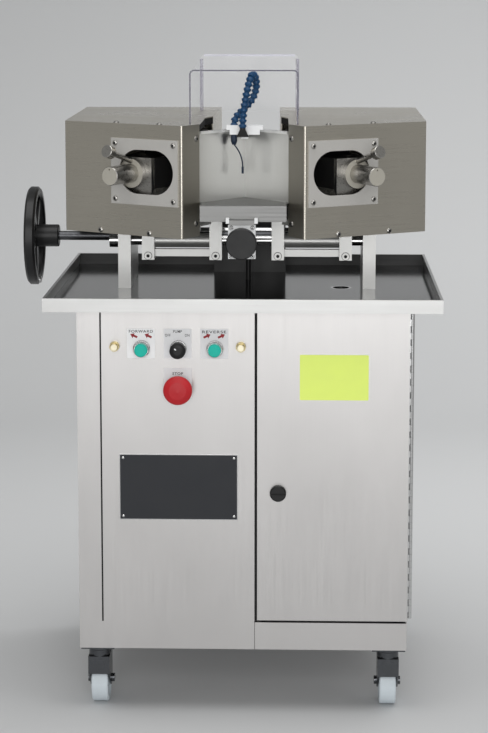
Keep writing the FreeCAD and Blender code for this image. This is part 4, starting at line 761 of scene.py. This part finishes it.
class SHARPENER_OT_legends(Step, bpy.types.Operator):
    """Makes the plates behind the controls, with their words and arrows"""

    bl_idname = "sharpener.legends"
    bl_label = "Control legends"

    def make(self, context):
        s = sizes()
        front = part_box("control_panel")[0].y
        top = front - s.legend_thickness
        plates, words, arrows = {}, [], []
        for node, lines in LEGENDS.items():
            centre = node_centre(node)
            x = centre.x + LEGEND_SHIFT
            half = s.legend_width / 2
            plates[node] = rounded_outline(x - half, x + half, centre.z - s.legend_below,
                                           centre.z + s.legend_above, LEGEND_CORNER)
            for text, width, right, above in lines:
                words.append(words_mesh(text, width * MM, s.letter_height, x + right * MM,
                                        centre.z + above * MM, top))
        for node, way in (("forward_button", -1), ("reverse_button", 1)):
            centre = node_centre(node)
            for side in (-1, 1):
                x = centre.x + LEGEND_SHIFT + side * ARROW_ASIDE
                arrows.append(arrow_outline(x, centre.z + ARROW_ABOVE, s.arrow_length, way))
        white = [plates.pop("forward_button")]
        plate_piece("legend_plates", plates.values(), top, front, "legend")
        plate_piece("forward_legend_plate", white, top, front, "legend_white")
        finish_piece("legend_words", join_meshes(words, "legend_words"), "ink")
        plate_piece("legend_arrows", arrows, top - INK, top, "arrow_ink")


class SHARPENER_OT_index_marks(Step, bpy.types.Operator):
    """Makes the white index mark on the pump selector"""

    bl_idname = "sharpener.index_marks"
    bl_label = "Index marks"

    def make(self, context):
        low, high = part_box("pump_selector")
        x, z = (low.x + high.x) / 2, (low.z + high.z) / 2
        turn, half, inner, outer = math.radians(48), 1.0 * MM, 3.4 * MM, 7.6 * MM
        corner, proud, sunk = 0.9 * MM, 0.15 * MM, 0.6 * MM
        mark = turned_outline(rounded_outline(-half, half, inner, outer, corner, steps=3), turn)
        plate_piece("selector_index", [[(x + u, z + v) for u, v in mark]], low.y - proud, low.y + sunk,
                    "white", "pump_selector")


# Name plate's centre from the panel's middle and foot, and the label's corner from the door's left and top.
PLATE_ASIDE = 2.0 * MM
PLATE_ABOVE = 309.7 * MM
LABEL_ASIDE = 78 * MM
LABEL_BELOW = 78.7 * MM
# Layers of the name plate: inset from its outline, front and back from the panel in millimetres, and looks.
PLATE_LAYERS = {
    "plate_border": (0, 1.2, 0, "bright", "bright_steel"),
    "plate_face": (1.4, 1.5, 1.0, "plate", "black_paint"),
}
# Half section of a rivet in millimetres.
RIVET = ((0, -0.3), (2.6, -0.3), (2.5, 0.4), (1.8, 1.0), (0.9, 1.3), (0, 1.35))


class SHARPENER_OT_plates(Step, bpy.types.Operator):
    """Makes the plain name plate with its border and rivets, and the plain door label"""

    bl_idname = "sharpener.plates"
    bl_label = "Plain plates"

    def make(self, context):
        s = sizes()
        low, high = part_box("control_panel")
        front = low.y
        x, z = (low.x + high.x) / 2 + PLATE_ASIDE, low.z + PLATE_ABOVE
        corner, rivet_inset, rivet_seat = 1 * MM, 7 * MM, 1.5 * MM
        for name, (inset, near, far, material, slot) in PLATE_LAYERS.items():
            half_x, half_z = s.plate_width / 2 - inset * MM, s.plate_height / 2 - inset * MM
            outline = rounded_outline(x - half_x, x + half_x, z - half_z, z + half_z, corner)
            plate_piece(name, [outline], front - near * MM, front - far * MM, material)
        right, up = s.plate_width / 2 - rivet_inset, s.plate_height / 2 - rivet_inset
        rivets = [(Vector((x + side * right, front - rivet_seat, z + level * up)), -BACK, MM)
                  for side in (-1, 1) for level in (-1, 1)]
        rivet = turned_mesh("rivet", RIVET, segments=16)
        stand_on_points("plate_rivets", rivets, rivet, "bright")
        low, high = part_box("door")
        left, top = low.x + LABEL_ASIDE, high.z - LABEL_BELOW
        film, corner = 0.3 * MM, 2 * MM
        outline = rounded_outline(left, left + s.label_width, top - s.label_height, top, corner)
        plate_piece("door_label", [outline], low.y - film, low.y, "label", "door")


def socket_mesh(share):
    """Dark hexagon socket, painted shade for its recess, for a head of radius one, with its face just above
    the head.
    """
    bm = bmesh.new()
    bmesh.ops.create_cone(bm, cap_ends=True, segments=6, radius1=share, radius2=share, depth=0.04)
    return mesh_from(bm, "hexagon")


# Half section of a button head of radius one on its seat, its height, and its socket beside the common one.
BUTTON_HEAD = ((0, 0), (1, 0), (1, 0.12), (0.9, 0.32), (0.72, 0.46), (0.5, 0.54), (0, 0.54))
BUTTON_HEIGHT = 0.54
BUTTON_SOCKET = 0.9


def screws_with_sockets(name, places):
    """Button heads and their sockets, each place a point on a face, the way out of it, and a radius."""
    stand_on_points(name, places, turned_mesh("button_head", BUTTON_HEAD), "bright")
    tops = [(place + way * radius * BUTTON_HEIGHT, way, radius) for place, way, radius in places]
    socket = socket_mesh(sizes().socket_share * BUTTON_SOCKET)
    stand_on_points(name + "_sockets", tops, socket, "socket")


class SHARPENER_OT_fasteners(Step, bpy.types.Operator):
    """Puts a socket in every screw, and makes the screws of the guide block and the rear panel"""

    bl_idname = "sharpener.fasteners"
    bl_label = "Fasteners"

    def make(self, context):
        heads = [head_of(points) for points in islands("housing_screws")]
        socket = socket_mesh(sizes().socket_share)
        stand_on_points("housing_screw_sockets", heads, socket, "socket")
        for side in ("left", "right"):
            self.clamp_screws(side)
        self.guide_screws()
        self.rear_screws()

    def clamp_screws(self, side):
        """Sockets of a carriage's clamp screws, and the shadow round each head where it is let in."""
        body = "carriage_" + side
        head_length, seat, share = 4 * MM, 2.6 * MM, 0.5
        places, rims = [], []
        for points in islands(body):
            low, high = points.min(0), points.max(0)
            if high[1] - low[1] < head_length:
                place = Vector(((low[0] + high[0]) / 2, low[1], (low[2] + high[2]) / 2))
                radius = (high[0] - low[0]) / 2
                places.append((place, -BACK, radius))
                rims.append((place + BACK * seat, -BACK, radius))
        stand_on_points("clamp_sockets_" + side, places, socket_mesh(share), "socket", body)
        # Painted shadow: a dark ring round each clamp screw's head.
        ring = turned_mesh("shadow_ring", ((0, 0), (1.14, 0), (1.14, 0.04), (0, 0.04)))
        stand_on_points("clamp_seats_" + side, rims, ring, "socket", body)

    def guide_screws(self):
        """Corner screws of the guide block's plate, behind the rim of its knob."""
        aside, above, radius, setback = 19.5 * MM, 26 * MM, 4.2 * MM, 6 * MM
        knob = node_centre("guide_knob")
        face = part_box("guide_block")[0].y + setback
        places = [(Vector((knob.x + side * aside, face, knob.z + level * above)), -BACK, radius)
                  for side in (-1, 1) for level in (-1, 1)]
        screws_with_sockets("guide_screws", places)

    def rear_screws(self):
        """Screws round the edge of the rear panel."""
        low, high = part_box("rear_panel")
        inset, radius, count = 7.5 * MM, 4.5 * MM, 4
        xs = np.linspace(low.x + inset, high.x - inset, count)
        zs = np.linspace(low.z + inset, high.z - inset, count)
        spots = [(x, z) for x in xs for z in (zs[0], zs[-1])]
        spots += [(x, z) for x in (xs[0], xs[-1]) for z in zs[1:-1]]
        places = [(Vector((x, high.y, z)), BACK, radius) for x, z in spots]
        screws_with_sockets("rear_panel_screws", places)


class SHARPENER_OT_knurls(Step, bpy.types.Operator):
    """Makes the ridges round the panel's thumbscrews"""

    bl_idname = "sharpener.knurls"
    bl_label = "Thumbscrew knurls"

    def make(self, context):
        ridge = bmesh.new()
        bmesh.ops.create_cube(ridge, size=1.0)
        length, width, height, tip = 12 * MM, 0.9 * MM, 0.8 * MM, 2 * MM
        radius, count = 6.4 * MM, 20
        ridge.transform(Matrix.Diagonal((width, length, height, 1)))
        places = []
        for points in islands("panel_thumbscrews"):
            low, high = points.min(0), points.max(0)
            centre = Vector(((low[0] + high[0]) / 2, low[1] + length / 2 + tip, (low[2] + high[2]) / 2))
            for step in range(count):
                angle = math.tau * step / count
                out = Vector((math.cos(angle), 0, math.sin(angle)))
                places.append((centre + out * radius, out, 1.0))
        stand_on_points("thumbscrew_knurls", places, mesh_from(ridge, "ridge"), "brass")


class SHARPENER_OT_seams(Step, bpy.types.Operator):
    """Makes the painted shadows in the gaps round the control panel and the hem on the chamber's walls, whose
    pale finish is a painted highlight
    """

    bl_idname = "sharpener.seams"
    bl_label = "Seams and hems"

    def make(self, context):
        low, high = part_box("control_panel")
        door_low, door_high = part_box("door")
        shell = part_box("cabinet_shell")[0]
        slit, lap, sheet, play = 3 * MM, 52 * MM, 2 * MM, 0.1 * MM
        line, door_gap = 0.9 * MM, 4 * MM
        slit_depth, gap_depth, proud, sunk = 0.6 * MM, 0.8 * MM, 0.05 * MM, 0.5 * MM
        # Painted shadow: dark strips of the rubber material lie in the gaps round the control panel.
        strips = (
            (low.x + play, low.x + slit - play, low.z + lap, high.z, low.y + slit_depth, low.y + sheet),
            (high.x + play, door_low.x - 2 * play, door_low.z, door_high.z, low.y + gap_depth, low.y + sheet),
            (high.x, high.x + line, shell.z, door_low.z - door_gap, shell.y - proud, shell.y + sunk),
        )
        seam = bmesh.new()
        for x0, x1, z0, z1, front, back in strips:
            extrude_outline(seam, [(x0, z0), (x1, z0), (x1, z1), (x0, z1)], front, back)
        finish_piece("panel_seam", mesh_from(seam, "panel_seam"), "rubber")
        self.chamber_hem()

    def chamber_hem(self):
        """Strip along the top of both chamber walls, from each housing to the manifold, in a pale finish that
        is a painted highlight.
        """
        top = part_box("blade_chamber")[1].z
        middle = node_centre("manifold_block").x
        start, end = Vector((80 * MM, -199 * MM)), Vector((27 * MM, -138 * MM))
        thickness, drop, proud = 1.2 * MM, 4.5 * MM, 0.4 * MM
        along = (end - start).normalized()
        out = Vector((-along.y, along.x)) * thickness
        corners = (start, end, end + out, start + out)
        bm = bmesh.new()
        for side in (-1, 1):
            outline = [(middle + side * corner.x, corner.y) for corner in corners]
            extrude_outline(bm, outline, -top - proud, drop - top)
        bm.transform(Matrix.Rotation(-math.pi / 2, 4, "X"))
        # The hem is real; its pale milled finish is a painted highlight.
        finish_piece("chamber_hem", mesh_from(bm, "chamber_hem"), "machined")


class SHARPENER_OT_cover_edges(Step, bpy.types.Operator):
    """Makes the cut edge at the front of the clear cover, dark as painted shade, with painted reflections at
    its back corners and a painted highlight along its back edge
    """

    bl_idname = "sharpener.cover_edges"
    bl_label = "Cover edges"

    def make(self, context):
        low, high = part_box("clear_cover")
        wall, bend, rise = 2.6 * MM, 9 * MM, 13 * MM
        proud, sunk, film = 0.2 * MM, 0.4 * MM, 0.3 * MM
        reflection_width, glint, corner = 7 * MM, 4 * MM, 0.5 * MM
        front_top = Vector((high.x, high.y, high.z - rise))
        outer = self.arch(low, front_top, 0, bend)
        inner = self.arch(low, front_top, wall, bend - wall)
        edge = [outer + inner[::-1]]
        # Painted shade along the cover's cut front edge.
        plate_piece("cover_edge", edge, low.y - proud, low.y + sunk, "cover_edge")
        # Painted reflections: violet strips down both back corners of the cover.
        corner_reflections = [rounded_outline(x, x + reflection_width, low.z, high.z - bend, corner, steps=2)
                  for x in (low.x + film, high.x - reflection_width - film)]
        # Painted highlight: a pale strip along the cover's back top edge.
        bright = [rounded_outline(low.x + bend, high.x - bend, high.z - glint, high.z, corner, steps=2)]
        for name, outlines, material in (("cover_joints", corner_reflections, "cover_corner_reflection"),
                                         ("cover_glint", bright, "cover_glint")):
            plate_piece(name, outlines, high.y, high.y + film, material)

    def arch(self, low, high, inset, radius, steps=6):
        """Outline of the cover's front, from its right foot over the top to its left foot."""
        left, right = low.x + inset, high.x - inset
        bends = rounded_outline(left, right, low.z, high.z - inset, radius, steps)[:2 * (steps + 1)]
        return [(right, low.z), *bends, (left, low.z)]


class SHARPENER_OT_handwheel_plug(Step, bpy.types.Operator):
    """Makes the bright plug in the handwheel's rim"""

    bl_idname = "sharpener.handwheel_plug"
    bl_label = "Handwheel plug"

    def make(self, context):
        low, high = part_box("handwheel")
        rim, forward, below = 20 * MM, 18 * MM, 86 * MM
        place = Vector((low.x + rim, (low.y + high.y) / 2 - forward, (low.z + high.z) / 2 - below))
        profile = ((0, 0), (7, 0), (7, 3), (6, 4.4), (3, 5.2), (0, 5.4))
        plug = turned_mesh("plug", profile, segments=20)
        stand_on_points("handwheel_plug", [(place, RIGHT, MM)], plug, "bright", "handwheel")


def area_light(name, place, target, size, power):
    light = bpy.data.lights.new(name, "AREA")
    light.shape = "RECTANGLE"
    light.size, light.size_y = size
    light.energy = power
    lamp = new_object(name, light)
    lamp.location = place
    lamp.rotation_euler = (Vector(target) - Vector(place)).to_track_quat("-Z", "Y").to_euler()


def sweep_mesh():
    """Studio floor that curves up into a backdrop."""
    half, near, turn, far, high, steps = 7.0, -7.0, 2.2, 3.6, 6.0, 16
    profile = [(near, 0.0)]
    radius = far - turn
    for step in range(steps + 1):
        angle = math.radians(90 * step / steps)
        profile.append((turn + radius * math.sin(angle), radius * (1 - math.cos(angle))))
    profile.append((far, high))
    bm = bmesh.new()
    rows = [[bm.verts.new((x, y, z)) for x in (-half, half)] for y, z in profile]
    for first, second in zip(rows, rows[1:]):
        bm.faces.new((first[0], first[1], second[1], second[0])).smooth = True
    return mesh_from(bm, "sweep")


class SHARPENER_OT_stage(Step, bpy.types.Operator):
    """Makes the floor, the backdrop, the lights and the camera"""

    bl_idname = "sharpener.stage"
    bl_label = "Stage"

    def make(self, context):
        floor = new_object("studio_sweep", sweep_mesh())
        material, tree, shader = new_material("studio_paper", Roughness=0.75)
        place = add_node(tree, "ShaderNodeTexCoord")
        height = add_node(tree, "ShaderNodeSeparateXYZ", {"Vector": place.outputs["Object"]}).outputs["Z"]
        # Painted shade: the paper darkens from the floor towards the top of the backdrop.
        shade = add_node(tree, "ShaderNodeMapRange",
                         {"Value": height, "From Min": 0.4, "From Max": 2.2, "To Min": 0.7, "To Max": 0.3})
        vary_colour(tree, shader, shade.outputs["Result"], colours().floor, darkening=0.34)
        # The paper is clear from its back, so that the object shows from every side.
        side = add_node(tree, "ShaderNodeNewGeometry")
        clear = add_node(tree, "ShaderNodeBsdfTransparent")
        paper = add_node(tree, "ShaderNodeMixShader", {"Fac": side.outputs["Backfacing"],
                                                       1: shader.outputs["BSDF"], 2: clear.outputs["BSDF"]})
        tree.links.new(paper.outputs["Shader"], tree.nodes["Material Output"].inputs["Surface"])
        floor.data.materials.append(material)
        world = bpy.data.worlds.new("studio")
        context.scene.world = world
        world.use_nodes = True
        background = world.node_tree.nodes["Background"]
        background.inputs["Color"].default_value = srgb("dcdcda")
        background.inputs["Strength"].default_value = 0.5
        area_light("top_softbox", (0.1, -0.7, 3.2), (0, 0.1, 0.9), (2.6, 2.0), 42)
        area_light("front_softbox", (0.2, -5.6, 1.75), (0.1, 0, 0.75), (3.4, 3.4), 120)
        area_light("backdrop_light", (1.2, 0.9, 2.3), (0.8, 3.4, 0.2), (3.0, 1.0), 33)
        camera = bpy.data.cameras.new("photo_camera")
        camera.sensor_width = 36
        camera.lens = 101.8
        camera.shift_y = -0.150
        viewer = new_object("photo_camera", camera)
        viewer.location = (0.1488, -4.0015, 1.3838)
        tilt, yaw = 0.1377, 0.0299
        viewer.rotation_euler = (math.pi / 2 - tilt, 0, yaw)
        context.scene.camera = viewer
        context.scene.view_settings.view_transform = "Standard"


OPERATORS = (
    SHARPENER_OT_materials, SHARPENER_OT_hose, SHARPENER_OT_legends, SHARPENER_OT_index_marks,
    SHARPENER_OT_plates, SHARPENER_OT_fasteners, SHARPENER_OT_knurls, SHARPENER_OT_seams,
    SHARPENER_OT_cover_edges, SHARPENER_OT_handwheel_plug, SHARPENER_OT_stage,
)


class SHARPENER_PT_panel(bpy.types.Panel):
    """Lists the steps that dress the sharpener"""

    bl_idname = "SHARPENER_PT_panel"
    bl_label = "Sharpener"
    bl_space_type = "VIEW_3D"
    bl_region_type = "UI"
    bl_category = "Sharpener"

    def draw(self, context):
        for operator in OPERATORS:
            self.layout.operator(operator.bl_idname)


CLASSES = (SharpenerColours, SharpenerSizes, *OPERATORS, SHARPENER_PT_panel)


def register():
    for item in CLASSES:
        bpy.utils.register_class(item)
    bpy.types.Scene.sharpener_colours = bpy.props.PointerProperty(type=SharpenerColours)
    bpy.types.Scene.sharpener_sizes = bpy.props.PointerProperty(type=SharpenerSizes)


def unregister():
    del bpy.types.Scene.sharpener_sizes
    del bpy.types.Scene.sharpener_colours
    for item in reversed(CLASSES):
        bpy.utils.unregister_class(item)


def main():
    register()
    for operator in OPERATORS:
        getattr(bpy.ops.sharpener, operator.bl_idname.split(".")[1])()


if __name__ == "__main__":
    main()
